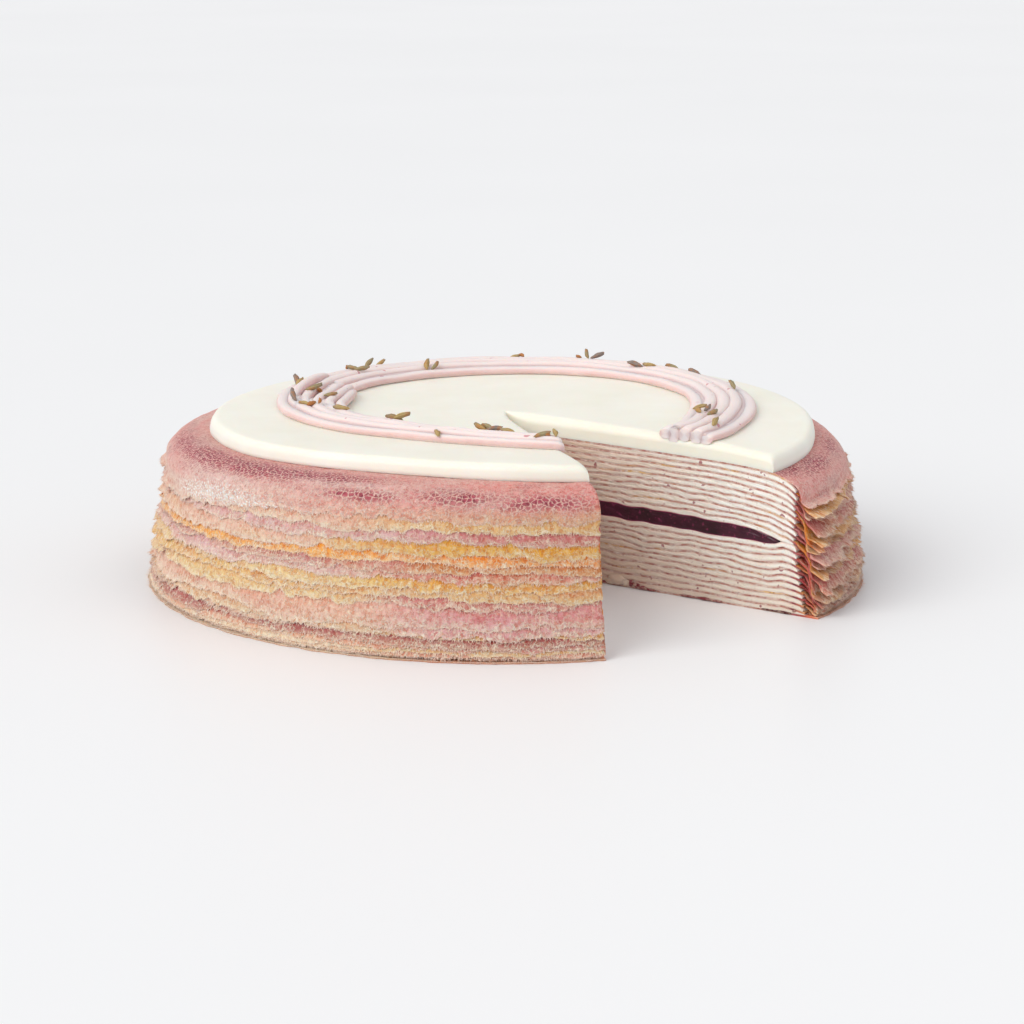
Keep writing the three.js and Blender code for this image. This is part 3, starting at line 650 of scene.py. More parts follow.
def rim_tints(k, phi, z, tip, cover):
    """Colour of rim k: its own hue, blotches, painted shade that deepens it under the rim above and on the
    right, and a paler lace at its edge.
    """
    s = along_rim(phi)
    wander = 0.2 * noise(s / 20, k * 3.3, seed=61)
    at_cut = smoothstep(bump(phi, LEFT_CUT, 38) + wander, 0.3, 0.7)
    at_right = smoothstep(near_right_cut(phi, 75) + wander, 0.35, 0.75)
    blotches = smoothstep(rough(s / 16, z / 5, k * 2.3, seed=62), 0.1, 1.0)
    stains = smoothstep(rough(s / 12, z / 3, k * 5.1, seed=63), 0.4, 1.2)
    strong = 0.25 + 0.75 * smoothstep(noise(s / 18, k * 2.1, seed=64), -0.5, 0.5)
    # Painted shade, strongest just under the rim above.
    under = np.exp(-np.maximum(cover - z, 0) / 1.5) * strong
    foot_line = np.exp(-(((z - 5.6 - 0.6 * noise(s / 25, seed=65)) / 1.0) ** 2))
    lace = (0.34 + 0.22 * strong) * np.exp(-np.maximum(z - tip, 0) / 1.3)

    hue = layered(
        LEFT_TINTS[k - 1],
        (CUT_TINTS[k - 1], at_cut),
        (RIGHT_TINTS[k - 1], at_right),
        (LEFT_TINTS[(k * 7) % CREPE_COUNT], 0.3 * blotches),
        (PLUM, 0.3 * stains),
    )
    hue = richer(hue, (0.35 + 0.85 * np.maximum(at_cut, at_right))[..., None])
    # Painted shade: darker on the right, the side in shade, and just under the rim above.
    for share, loss in ((at_right, (0.1, 0.18, 0.22)), (under, (0.04, 0.22, 0.34))):
        hue = hue * (1 - np.clip(share, 0, 1)[..., None] * np.array(loss))
    return layered(hue, (FOOT_LINE, 0.75 * foot_line), (LACE, lace))


# ---------------------------------------------------------------- materials


class Paint:
    """A material put together from nodes. A value is a number, a tuple or another node's output."""

    def __init__(self, name):
        self.material = bpy.data.materials.new(name)
        self.material.use_nodes = True
        self.tree = self.material.node_tree
        self.surface = self.tree.nodes["Principled BSDF"].inputs

    def feed(self, socket, value):
        if isinstance(value, bpy.types.NodeSocket):
            self.tree.links.new(value, socket)
        else:
            socket.default_value = value

    def node(self, kind, settings=None, **inputs):
        """Adds a node and returns its outputs. Inputs are named with underscores for spaces."""
        made = self.tree.nodes.new("ShaderNode" + kind)
        for key, value in (settings or {}).items():
            setattr(made, key, value)
        for key, value in inputs.items():
            self.feed(made.inputs[key.replace("_", " ")], value)
        return made.outputs

    def mix(self, share, a, b, blend="MIX"):
        """Colour a with the share of colour b in it."""
        made = self.tree.nodes.new("ShaderNodeMix")
        made.data_type = "RGBA"
        made.blend_type = blend
        self.feed(made.inputs[0], share)
        for index, colour in ((6, a), (7, b)):
            is_output = isinstance(colour, bpy.types.NodeSocket)
            self.feed(made.inputs[index], colour if is_output else (*colour, 1.0))
        return made.outputs[2]

    def times(self, share, a, b):
        """Colour a, multiplied by colour b where the share is 1."""
        return self.mix(share, a, b, "MULTIPLY")

    def ramp(self, value, low, high, to_low=0.0, to_high=1.0):
        """The value where it runs from low to high, brought to the new range."""
        limits = {"From_Min": low, "From_Max": high, "To_Min": to_low, "To_Max": to_high}
        return self.node("MapRange", Value=value, **limits)[0]

    def maths(self, operation, a, b=0.0):
        made = self.tree.nodes.new("ShaderNodeMath")
        made.operation = operation
        self.feed(made.inputs[0], a)
        self.feed(made.inputs[1], b)
        return made.outputs[0]

    def attribute(self, name):
        return self.node("Attribute", {"attribute_name": name})["Vector"]

    def parts(self, vector):
        return self.node("SeparateXYZ", Vector=vector)

    def place(self):
        """Where a point is on its piece, in metres."""
        return self.node("TexCoord")["Object"]

    def scaled(self, vector, x, y, z):
        return self.node("Mapping", Vector=vector, Scale=(x, y, z))[0]

    def noise(self, vector, scale=1.0, detail=3.0, roughness=0.6):
        return self.node("TexNoise", Vector=vector, Scale=scale, Detail=detail, Roughness=roughness)[0]

    def warped(self, vector, scale):
        """The vector, moved about in the sheet by noise."""
        inputs = {"Scale": scale, "Detail": 3.0, "Roughness": 0.65}
        warp = self.node("TexNoise", Vector=vector, **inputs)["Color"]
        made = self.tree.nodes.new("ShaderNodeVectorMath")
        made.operation = "MULTIPLY_ADD"
        for socket, value in zip(made.inputs, (warp, (1.8, 1.8, 0.0), vector)):
            self.feed(socket, value)
        return made.outputs[0]

    def bumps(self, height, strength, depth):
        """Bumps of this depth in millimetres."""
        made = self.node("Bump", Height=height, Strength=strength, Distance=depth * MM)
        self.tree.links.new(made[0], self.surface["Normal"])

    def finished(self, colour, roughness, scatter, reach_mm, gloss=0.4):
        """The material in that colour; `scatter` and `reach_mm` say how light spreads inside it."""
        self.tree.links.new(colour, self.surface["Base Color"])
        self.surface["Roughness"].default_value = roughness
        self.surface["Specular IOR Level"].default_value = gloss
        self.surface["Subsurface Weight"].default_value = scatter
        self.surface["Subsurface Radius"].default_value = (1.0, 0.6, 0.4)
        self.surface["Subsurface Scale"].default_value = reach_mm * MM
        return self.material


def lacework(p, sheet):
    """A crepe's skin, from 0 to 1: pale threads between cells, how dark each cell is, upright streaks."""
    skin = p.scaled(sheet, 1.0, 1.0, 7.0)
    place = p.scaled(p.warped(skin, 0.8), 1.0, 0.8, 1.0)
    edges = p.node("TexVoronoi", {"feature": "DISTANCE_TO_EDGE"}, Vector=place, Scale=1.2)
    cells = p.node("TexVoronoi", {"feature": "F1"}, Vector=place, Scale=1.2)
    chance = p.parts(cells["Color"])[0]
    threads = p.ramp(edges["Distance"], 0.15, 0.03)
    gaps = p.ramp(p.noise(skin, 0.7, 2.0), 0.38, 0.55)
    curls = p.maths("MULTIPLY", threads, gaps)
    pits = p.maths("MULTIPLY", p.ramp(chance, 0.35, 0.95), p.ramp(threads, 1.0, 0.3))
    streaks = p.noise(p.scaled(sheet, 1.3, 0.3, 7.0))
    return curls, pits, streaks


def skin_height(p, curls, pits):
    return p.maths("SUBTRACT", p.maths("MULTIPLY", curls, 0.7), pits)


def crepe_material():
    p = Paint("crepe")
    sheet = p.attribute("sheet")
    curls, pits, streaks = lacework(p, sheet)
    near_edge = p.ramp(p.parts(sheet)[1], 3.0, 0.0)
    mottle = p.noise(p.scaled(sheet, 0.75, 0.5, 7.0), roughness=0.65)
    deep = p.times(p.ramp(mottle, 0.5, 0.3, 0, 0.6), p.attribute("tint"), (0.76, 0.46, 0.36))
    light = p.mix(p.ramp(mottle, 0.52, 0.72, 0, 0.5), deep, LACE)
    streaked = p.times(p.ramp(streaks, 0.52, 0.32, 0, 0.45), light, (0.8, 0.55, 0.46))
    pitted = p.times(p.maths("MULTIPLY", pits, 0.6), streaked, (0.78, 0.5, 0.38))
    pale_share = p.maths("MULTIPLY", curls, p.ramp(near_edge, 0, 1, 0.32, 0.8))
    laced = p.mix(pale_share, pitted, linear(0xF6E0C6))
    p.bumps(skin_height(p, curls, pits), 0.6, 0.3)
    return p.finished(laced, 0.65, 0.4, 1.2, 0.15)


def top_crepe_material():
    """The top crepe: rose skin, with plum cells in a pale network where `bruise` is high."""
    p = Paint("top_crepe")
    sheet = p.attribute("sheet")
    cells = p.node(
        "TexVoronoi", {"feature": "DISTANCE_TO_EDGE", "voronoi_dimensions": "2D"},
        Vector=p.warped(p.scaled(sheet, 1, 1, 0), 1.1), Scale=0.64,
    )
    inside = p.ramp(cells["Distance"], 0.04, 0.13)
    bruise, glint, _ = p.parts(p.attribute("bruise"))
    curls, pits, _ = lacework(p, sheet)
    mottle = p.noise(p.scaled(sheet, 0.4, 0.55, 0.0), roughness=0.65)
    deep = p.times(p.ramp(mottle, 0.55, 0.35, 0, 0.65), p.attribute("tint"), (0.84, 0.58, 0.56))
    base = p.times(p.maths("MULTIPLY", pits, 0.65), deep, (0.8, 0.5, 0.48))
    specked = p.mix(p.maths("MULTIPLY", curls, 0.6), base, linear(0xF8DDD0))
    plum = p.mix(pits, linear(0xAC4C5A), linear(0x7A263A))
    celled = p.mix(p.maths("MULTIPLY", inside, bruise), specked, plum)
    network = p.maths("SUBTRACT", 1.0, inside)
    net_share = p.maths("MULTIPLY", network, p.ramp(bruise, 0.0, 0.5, 0.05, 0.7))
    netted = p.mix(net_share, celled, linear(0xE9C4B6))
    # Painted highlight: white glints on the skin, where the second part of `bruise` is high.
    grain = p.ramp(p.noise(p.scaled(sheet, 1.3, 1.3, 0.0), detail=2.0), 0.525, 0.575)
    glinted = p.mix(p.maths("MULTIPLY", glint, grain), netted, linear(0xFDF6F0))
    height = p.maths("ADD", p.maths("MULTIPLY", network, 0.6), skin_height(p, curls, pits))
    p.bumps(height, 0.7, 0.35)
    return p.finished(glinted, 0.55, 0.4, 1.2, 0.2)


def crepe_cut_material():
    """A crepe's cut edge: a brownish pink line that fades where the knife smeared cream over it."""
    p = Paint("crepe_cut")
    cut = p.attribute("slice")
    fade = p.noise(p.scaled(cut, 0.34, 0.3, 9.0), 1.0, 4.0, 0.75)
    hue = p.noise(p.scaled(cut, 0.045, 0.0, 3.7), 1.0, 2.0, 0.5)
    dots = p.noise(p.scaled(cut, 1.0, 0.5, 5.0), detail=2.0)
    browned = p.mix(p.ramp(hue, 0.58, 0.7), linear(0xB67E70), linear(0xDDAA60))
    dark = p.mix(p.ramp(dots, 0.56, 0.68, 0, 0.9), browned, linear(0x8E3A44))
    line = p.mix(p.ramp(fade, 0.42, 0.64, 0.0, 0.9), dark, linear(0xE6D2C6))
    # Where the rims hang beyond the cream, dark red gives way to each rim's own hue. The dark red is partly
    # the cut edges' own colour and partly painted shade inside the bundle of rims.
    radius = p.parts(cut)[0]
    patchy = p.noise(p.place(), 420.0, 2.0)
    reddish = p.mix(p.ramp(patchy, 0.42, 0.6), linear(0x702434), linear(0xA8545A))
    own = p.times(1.0, p.attribute("tint"), (1.0, 0.93, 0.9))
    rim_hue = p.mix(p.ramp(radius, 105.8, 108.8), reddish, own)
    rim = p.mix(p.ramp(radius, 102.5, 105.5, 0, 0.95), line, rim_hue)
    return p.finished(rim, 0.55, 0.2, 1.0)


def cream_material():
    """Cream, with painted shade: darker and warmer deep in the wedge and darker near the floor; and stained
    beside the crepes.
    """
    p = Paint("cream")
    where = p.place()
    cut = p.attribute("slice")
    radius, share_up, _ = p.parts(cut)
    pores = p.noise(where, 1100.0, 3.0, 0.65)
    body = p.mix(p.ramp(p.noise(where, 160.0), 0.35, 0.65), linear(0xF3ECE1), linear(0xF9F4EC))
    # Painted shade: darker and warmer deep in the wedge, towards the apex.
    inner = p.times(p.ramp(radius, 88.0, 10.0), body, (0.67, 0.48, 0.38))
    # Painted shade: darker near the floor.
    low = p.times(p.ramp(p.parts(where)[2], 0.026, 0.002), inner, (0.9, 0.82, 0.76))
    pitted = p.mix(p.ramp(pores, 0.42, 0.3, 0, 0.6), low, linear(0xD9BFB0))
    specks = p.noise(where, 480.0, 1.0, 0.4)
    dotted = p.mix(p.ramp(specks, 0.72, 0.745, 0, 0.8), pitted, linear(0x8C3A48))
    beside = p.ramp(p.maths("ABSOLUTE", p.maths("SUBTRACT", share_up, 0.5)), 0.15, 0.5)
    smear = p.noise(p.scaled(cut, 0.16, 0.6, 5.0), roughness=0.7)
    stain = p.maths("MULTIPLY", beside, p.ramp(smear, 0.35, 0.65, 0.1, 0.85))
    stained = p.mix(stain, dotted, linear(0xD8AE9F))
    p.bumps(pores, 0.5, 0.35)
    return p.finished(stained, 0.55, 0.35, 2.0)


def jelly_material():
    p = Paint("jelly")
    where = p.place()
    specks = p.noise(where, 700.0, 2.0)
    body = p.mix(p.ramp(p.noise(where, 110.0, 2.0), 0.35, 0.65), linear(0x260B15), linear(0x45132A))
    seeds = p.mix(p.ramp(specks, 0.6, 0.72, 0, 0.7), body, linear(0x8A2F58))
    share_up = p.parts(p.attribute("slice"))[1]
    edge = p.ramp(p.maths("ABSOLUTE", p.maths("SUBTRACT", share_up, 0.5)), 0.43, 0.5)
    stained = p.mix(p.maths("MULTIPLY", edge, 0.8), seeds, linear(0xA83A62))
    p.bumps(specks, 0.4, 0.3)
    return p.finished(stained, 0.32, 0.1, 1.0, 0.5)


def icing_material(name, shade):
    """White icing; painted shade makes it a little darker where its wall stands up and its top rounds down to
    the cuts (tint), and where it is cut (shade).
    """
    p = Paint(name)
    where = p.place()
    body = p.mix(p.ramp(p.noise(where, 45.0), 0.3, 0.7), linear(0xF2EEDF), linear(0xF7F4E8))
    walled = p.times(1.0, body, p.attribute("tint"))
    p.bumps(p.noise(p.scaled(where, 1.0, 3.0, 1.0), 60.0, 3.0, 0.5), 0.15, 0.5)
    return p.finished(p.times(1.0, walled, shade), 0.42, 0.4, 3.0)


def piping_material():
    p = Paint("piping")
    where = p.place()
    clouds = p.ramp(p.noise(where, 90.0), 0.3, 0.7, 0, 0.35)
    body = p.mix(clouds, p.attribute("tint"), linear(0xF2E0DC))
    specks = p.ramp(p.noise(where, 300.0, 1.0, 0.4), 0.74, 0.77, 0, 0.7)
    p.bumps(p.noise(where, 800.0), 0.6, 0.35)
    return p.finished(p.mix(specks, body, linear(0xC0606E)), 0.5, 0.35, 2.0)


def bud_material():
    p = Paint("lavender_bud")
    sheet = p.attribute("sheet")
    fine = p.noise(p.scaled(sheet, 1.0, 0.6, 9.0), 1.5)
    shaded = p.times(p.ramp(fine, 0.35, 0.65, 0, 0.45), p.attribute("tint"), (0.6, 0.52, 0.46))
    patch = p.noise(p.scaled(sheet, 0.35, 0.4, 5.3), detail=2.0)
    rusty = p.mix(p.ramp(patch, 0.5, 0.62, 0, 0.6), shaded, linear(0xB97A46))
    p.bumps(fine, 0.8, 0.3)
    return p.finished(rusty, 0.7, 0.05, 0.5, 0.25)


def fringe_material():
    p = Paint("fringe")
    grain = p.ramp(p.noise(p.place(), 1500.0, 2.0), 0.35, 0.65, 0, 0.4)
    return p.finished(p.mix(grain, p.attribute("tint"), LACE), 0.5, 0.3, 0.8)


def floor_material():
    p = Paint("floor")
    clouds = p.ramp(p.noise(p.place(), 2.0, 2.0), 0.3, 0.7)
    p.feed(p.surface["Base Color"], p.mix(clouds, linear(0xF3F3F4), linear(0xF5F5F6)))
    p.feed(p.surface["Roughness"], 0.45)
    return p.material


# ---------------------------------------------------------------- crepes

SHOULDER_START = 105.0  # radius at which the top crepe starts to bend down
SHOULDER_FALL = 4.6  # height over which it bends
SHOULDER_CORNER = 0.75  # slope towards the corner of that bend
RIM_OVER = 0.1  # how far inside the side's outline its rim hangs
TOP_RIM_SPLAY = 0.8


def crepe_piece(k, solid, materials):
    """The piece of crepe k, standing for its CAD node."""
    node = f"crepe_{k:02d}"
    slot = next(row["material_slot"] for row in frame["record"]["subparts"] if row["node"] == node)
    return solid.piece(f"crepe_sheet_{k:02d}", materials, slot, node)


def sheet_coordinates(k, phi, u):
    """Where a point lies on the crepe itself, and on which crepe.

    `u` runs up from its edge, or on the top crepe out from its middle.
    """
    return stacked(along_rim(phi), u, float(k))


def thickened(r, z, thickness):
    """The other face of a thin sheet whose columns run outwards."""
    dr, dz = np.gradient(r, axis=1), np.gradient(z, axis=1)
    length = np.maximum(np.hypot(dr, dz), 1e-6)
    out, up = -dz / length, dr / length
    return r - out * thickness, z - up * thickness


def flat_rows(k, phi, radii):
    r = np.broadcast_to(np.asarray(radii, float), (len(phi), len(radii)))
    return r, crepe_top(k, columnwise(phi, r), r)


def crepe_face(k):
    def face(phi, r):
        z = crepe_top(k, phi, r)
        return z, z - CREPE_THICKNESS

    return face


def hanging_crepe(k, materials):
    """Crepe k with its rim. Like the other crepes it returns what the fringe needs of its edge."""
    phi = round_the_cake(SIDE_COLUMNS)
    flat_r, flat_z = flat_rows(k, phi, (RING_RADIUS, 97, SHEET_BEND))
    skirt_r, skirt_z = skirt(k, phi)
    r = np.concatenate([flat_r, skirt_r], axis=1)
    z = np.concatenate([flat_z, skirt_z], axis=1)
    rim = lerp(CREPE_THICKNESS, RIM_THICKNESS, smoothstep(SKIRT_ROWS, 0, 0.3))
    rim = lerp(rim, RIM_EDGE_THICKNESS, smoothstep(SKIRT_ROWS, 0.6, 1.0))
    thickness = np.concatenate([np.full(flat_r.shape[1], CREPE_THICKNESS), rim])
    low_r, low_z = thickened(r, z, thickness)
    wide = columnwise(phi, r)
    tip = z[:, -1:]
    tints = rim_tints(k, wide, z, tip, covered_to(k, phi)[:, None])
    sheets = sheet_coordinates(k, wide, z - tip)
    torn = pulled_back(k, wide, z)
    torn[:, : flat_r.shape[1] + 1] = phi[:, None]
    lower = (low_r, np.maximum(low_z, 0.0))
    solid = cut_layer(k, phi, (r, z), lower, crepe_face(k), tints=tints, sheets=sheets, directions=torn)
    crepe_piece(k, solid, materials)
    return k, torn[:, -1], r[:, -2:], z[:, -2:], tints[:, -1]


def bottom_crepe(materials):
    """The lowest crepe lies flat on what the cake stands on."""
    k = CREPE_COUNT
    phi = round_the_cake(SIDE_COLUMNS)
    s = along_rim(phi)
    ragged = 0.3 * noise(s / 5, seed=71) + 0.3 * noise(s / 1.6, seed=72) - 0.35
    edge = (FOOT_RADIUS + ragged)[:, None]
    shares = np.array([0, 0.35, 0.62, 0.78, 0.88, 0.95, 1.0])
    r = lerp(RING_RADIUS, edge, shares)
    wide = columnwise(phi, r)
    thin = np.broadcast_to(lerp(CREPE_THICKNESS, RIM_THICKNESS, smoothstep(shares, 0.8, 1)), r.shape)
    waves = 0.12 * (noise(wide * 1.1, r / 4, seed=73) + 1)
    z = thin + waves * smoothstep(shares, 0.6, 0.9)
    tints = rim_tints(k, wide, edge - r, 0.0, 9.0)
    sheets = sheet_coordinates(k, wide, edge - r)
    solid = cut_layer(k, phi, (r, z), (r, 0.0 * r), crepe_face(k), tints=tints, sheets=sheets)
    crepe_piece(k, solid, materials)
    return k, phi, r[:, -2:], z[:, -2:], tints[:, -1]


# Patches of the top crepe: direction, distance from the middle along the sheet, length, width, strength.
BRUISES = (
    (208, 101.0, 12, 5.2, 1.4),
    (223, 99.6, 14, 5.2, 1.5),
    (238, 98.0, 10, 4.2, 1.4),
    (194, 102.0, 12, 4.2, 1.0),
    (247, 106.2, 9, 2.2, 0.9),
    (263, 105.4, 7, 3.2, 1.0),
    (276, 107.0, 9, 3.0, 0.9),
    (-22, 101.5, 8, 4.0, 1.1),
    (-30, 98.5, 6, 3.6, 1.1),
    (-8, 103.5, 8, 3.4, 0.8),
    (60, 101.0, 20, 4.0, 0.7),
    (120, 103.0, 16, 3.5, 0.6),
)
SALMON_PATCHES = (
    (254, 99.5, 11, 4.5, 1.0),
    (272, 100.5, 12, 4.5, 0.9),
    (284, 106.0, 6, 6.0, 0.5),
    (-20, 97.0, 14, 3.5, 0.6),
)
PALE_PATCHES = (
    (243, 102.0, 10, 1.8, 1.0),
    (218, 106.5, 16, 3.0, 0.6),
    (219, 112.5, 10, 2.6, 0.7),
    (262, 100.5, 5, 0.8, 0.5),
)
# Patches of painted glints on the top crepe: white specks standing in for light caught on it.
GLINT_PATCHES = ((219, 112.0, 10, 2.8, 1.3), (211, 113.8, 7, 2.0, 1.3), (227, 113.4, 8, 1.9, 1.1))


def patches(table, phi, spread):
    """How strongly the patches of the table cover each place, from 0 to 1."""
    total = np.zeros(spread.shape)
    for at, distance, length, width, strength in table:
        patch = bump(phi, at, length) * np.exp(-(((spread - distance) / width) ** 2))
        total = np.maximum(total, strength * patch)
    return total


def bend(t, start, corner, end):
    """A curve from start to end, drawn towards the corner."""
    return (1 - t) ** 2 * start + 2 * t * (1 - t) * corner + t * t * end


def top_profile(phi):
    """Radii and heights of the top crepe: out to the shoulder, down over it, and the hanging rim."""
    flat_r, flat_z = flat_rows(1, phi, (RING_RADIUS, 93, 95.5, 97.5, 99.5, 101.2, 102.7, 104, SHOULDER_START))
    flat_z = flat_z + 0.12 * rough(np.radians(phi)[:, None] * 18, flat_r / 5, seed=81)
    start_z = flat_z[:, -1:]
    fall_z = start_z - SHOULDER_FALL
    fall_r = side_radius(phi[:, None], fall_z) - RIM_OVER
    t = np.array([0.14, 0.3, 0.47, 0.65, 0.82, 1.0])
    bend_r = bend(t, SHOULDER_START, fall_r, fall_r)
    bend_z = bend(t, start_z, start_z - SHOULDER_CORNER * (fall_r - SHOULDER_START), fall_z)
    tip = np.minimum(torn_tip(1, phi)[:, None], fall_z - 0.5)
    share = np.array([0.22, 0.45, 0.66, 0.84, 1.0])
    skirt_z = lerp(fall_z, tip, share)
    wide = columnwise(phi, skirt_z)
    s = along_rim(wide)
    flare = rim_flare(wide) * share**2 * (1 + 0.9 * noise(s / 3.2, seed=82))
    splay = TOP_RIM_SPLAY * near_right_cut(wide, RIM_SPLAY_WIDTH) * share**1.5
    plain = side_radius(wide, skirt_z) - RIM_OVER
    skirt_r = plain + flare + splay + 0.1 * noise(s / 2.5, skirt_z / 3, seed=83)
    r = np.concatenate([flat_r, bend_r, skirt_r], axis=1)
    return r, np.concatenate([flat_z, bend_z, skirt_z], axis=1)


def top_colours(phi, spread, from_edge):
    """Its colours and bruises, by direction, distance from the middle along the sheet and from its edge."""
    s = along_rim(phi)
    at_left = bump(phi, 205, 40) * smoothstep(from_edge, 11, 3)
    browned = bump(phi, 278, 26) * smoothstep(from_edge, 6, 1)
    tints = layered(
        linear(0xEBA49D),
        (linear(0xEA8A80), patches(SALMON_PATCHES, phi, spread)),
        (BLUSH, 0.7 * smoothstep(rough(s / 22, spread / 5, seed=84), 0.0, 1.1)),
        (linear(0xE6C2AE), 0.85 * at_left),
        (linear(0xFBEDE2), 0.8 * patches(PALE_PATCHES, phi, spread)),
        (linear(0xD9A070), 0.8 * browned),
        (LACE, 0.45 * np.exp(-from_edge / 1.6)),
    )
    bruise = 0.4 * smoothstep(rough(s / 12, spread / 3.5, seed=85), 0.1, 1.0)
    bruise = np.maximum(bruise, 1.15 * patches(BRUISES, phi, spread))
    uneven = 0.85 + 0.3 * rough(s / 5, spread / 2, seed=86)
    return tints, np.clip(bruise * smoothstep(from_edge, 0.8, 3.0) * uneven, 0, 1)


def top_crepe(materials):
    phi = round_the_cake(TOP_COLUMNS)
    r, z = top_profile(phi)
    wide = columnwise(phi, r)
    steps = np.hypot(np.diff(r, axis=1), np.diff(z, axis=1))
    walked = np.concatenate([np.zeros((len(phi), 1)), np.cumsum(steps, axis=1)], axis=1)
    spread = RING_RADIUS + walked
    tints, bruise = top_colours(wide, spread, walked[:, -1:] - walked)
    lower = thickened(r, z, lerp(CREPE_THICKNESS, RIM_THICKNESS, smoothstep(walked, 14, 20)))
    sheets = sheet_coordinates(1, wide, spread)
    solid = cut_layer(1, phi, (r, z), lower, crepe_face(1), tints=tints, sheets=sheets)
    piece = crepe_piece(1, solid, materials)
    # The bruises and the painted glints belong to its upper face, which comes first in the mesh.
    layer = piece.data.attributes.new("bruise", "FLOAT_VECTOR", "POINT")
    values = np.zeros((len(piece.data.vertices), 3), np.float32)
    values[: bruise.size, 0] = bruise.ravel()
    values[: bruise.size, 1] = patches(GLINT_PATCHES, wide, spread).ravel()
    layer.data.foreach_set("vector", values.ravel())
    return 1, phi, r[:, -2:], z[:, -2:], tints[:, -1]


# ---------------------------------------------------------------- torn fringe

FRINGE_SPACING = 0.34  # along the rim
FRINGE_LENGTH = 0.7
FRINGE_WIDTH = 0.36
FRINGE_THICKNESS = 0.1


def fringe(rims, material):
    """Fine torn shreds along the rims' edges, one slim pyramid each.

    `rims` holds for each crepe its number, the directions of its columns, the last two radii and heights
    of each column, and the colours of its edge.
    """
    dice = np.random.default_rng(7)
    blocks, tints = [], []
    for k, phi, r, z, tint in rims:
        length = math.radians(phi[-1] - phi[0]) * SIDE_RADIUS
        count = int(length / FRINGE_SPACING)
        at = np.sort(dice.uniform(phi[0] + 0.1, phi[-1] - 0.1, count))
        edge_r, edge_z = np.interp(at, phi, r[:, 1]), np.interp(at, phi, z[:, 1])
        out = edge_r - np.interp(at, phi, r[:, 0])
        down = edge_z - np.interp(at, phi, z[:, 0])
        reach_out = np.maximum(np.hypot(out, down), 1e-6)
        out, down = out / reach_out, down / reach_out
        # A shred leaves its rim along the sheet, bent to one side and, where the rims lift, outwards.
        bend = dice.uniform(0.0, 1.0, count)
        lifted = np.maximum(bump(at, RIM_FLARE_LEFT[1], 18), near_right_cut(at, RIM_FLARE_WIDTH))
        out, down = out + (0.08 + 0.55 * lifted) * bend, down + 0.5 * lifted * bend
        size = FRINGE_LENGTH * dice.uniform(0.35, 1.25, count) * (1 + 0.5 * noise(at / 2, k * 3.1, seed=75))
        aside = dice.uniform(-0.6, 0.6, count)
        half = np.degrees(0.5 * FRINGE_WIDTH * dice.uniform(0.5, 1.2, count) / SIDE_RADIUS)
        inside = edge_r - 0.1
        base_z = np.maximum(edge_z + 0.12, 0.12)
        tip_z = np.maximum(edge_z + down * size, 0.06)
        left = points_at(at - half, inside, base_z)
        right = points_at(at + half, inside, base_z)
        back = points_at(at, inside - FRINGE_THICKNESS, base_z)
        tip = points_at(at + np.degrees(aside * size / SIDE_RADIUS), edge_r + out * size, tip_z)
        blocks.append(np.stack([left, right, back, tip], axis=1))
        own = np.stack([np.interp(at, phi, tint[:, c]) for c in range(3)], axis=-1)
        pale = lerp(own, linear(0xF5E4D6), dice.uniform(0.0, 0.6, count)[:, None])
        # The back of each shred carries painted shade, darker and warmer.
        tints.append(np.stack([pale, pale, own * UNDERSIDE_SHADE, pale], axis=1))
    points = np.concatenate(blocks).reshape(-1, 3)
    start = 4 * np.arange(len(points) // 4)[:, None, None]
    shape = np.array([(0, 3, 1), (1, 3, 2), (2, 3, 0), (0, 1, 2)])
    faces = (start + shape[None]).reshape(-1, 3)
    attributes = {"tint": np.concatenate(tints).reshape(-1, 3)}
    placed(mesh_object("crepe_fringe", points, faces, [material], attributes, smooth=False))


# ---------------------------------------------------------------- creams and jelly


def sheet_height(k, phi, r):
    """crepe_top, and further out the slope to the crepe's bend."""
    if k in (1, CREPE_COUNT):
        return crepe_top(k, phi, r)
    last = crepe_top(k, phi, np.minimum(r, SHEET_BEND))
    bend_r, bend_z = bend_of(k, phi)
    return lerp(last, np.minimum(bend_z, last), np.clip((r - SHEET_BEND) / (bend_r - SHEET_BEND), 0, 1))


def cream_face(k):
    """Heights of cream k between its crepes, or against the jelly."""

    def face(phi, r):
        above = k if k <= CREPES_ABOVE else k - 1
        below = k + 1 if k < CREPES_ABOVE else k
        if k == CREPES_ABOVE + 1:
            upper = jelly_face(phi, r, False) - SEAM
        else:
            upper = sheet_height(above, phi, r) - CREPE_THICKNESS - SEAM
        lower = jelly_face(phi, r, True) + SEAM if k == CREPES_ABOVE else sheet_height(below, phi, r) + SEAM
        return upper, lower

    return face


def cream_layer(k, material):
    phi = round_the_cake(CREAM_COLUMNS)
    edge = cream_radius(k, phi)[:, None] + CREAM_BULGE
    radii = np.array([RING_RADIUS, 93, 96.5, 98.5, 99.7, 101.2])
    inner = np.broadcast_to(radii, (len(phi), len(radii)))
    r = np.concatenate([inner, edge - np.array([2.6, 1.4, 0.5, 0.0])], axis=1)
    wide = columnwise(phi, r)
    upper, lower = cream_face(k)(wide, r)
    # Towards its edge the cream's top rounds down under the bend of the crepe on it.
    left_over = np.array([1.0] * (r.shape[1] - 3) + [0.94, 0.78, 0.3])
    upper = lerp(lower, upper, left_over)
    solid = cut_layer(k, phi, (r, upper), (r, lower), cream_face(k), CREAM_RELIEF, CREAM_ROWS)
    solid.piece(f"cream_layer_{k:02d}", [material, material], "cream", f"cream_{k:02d}")


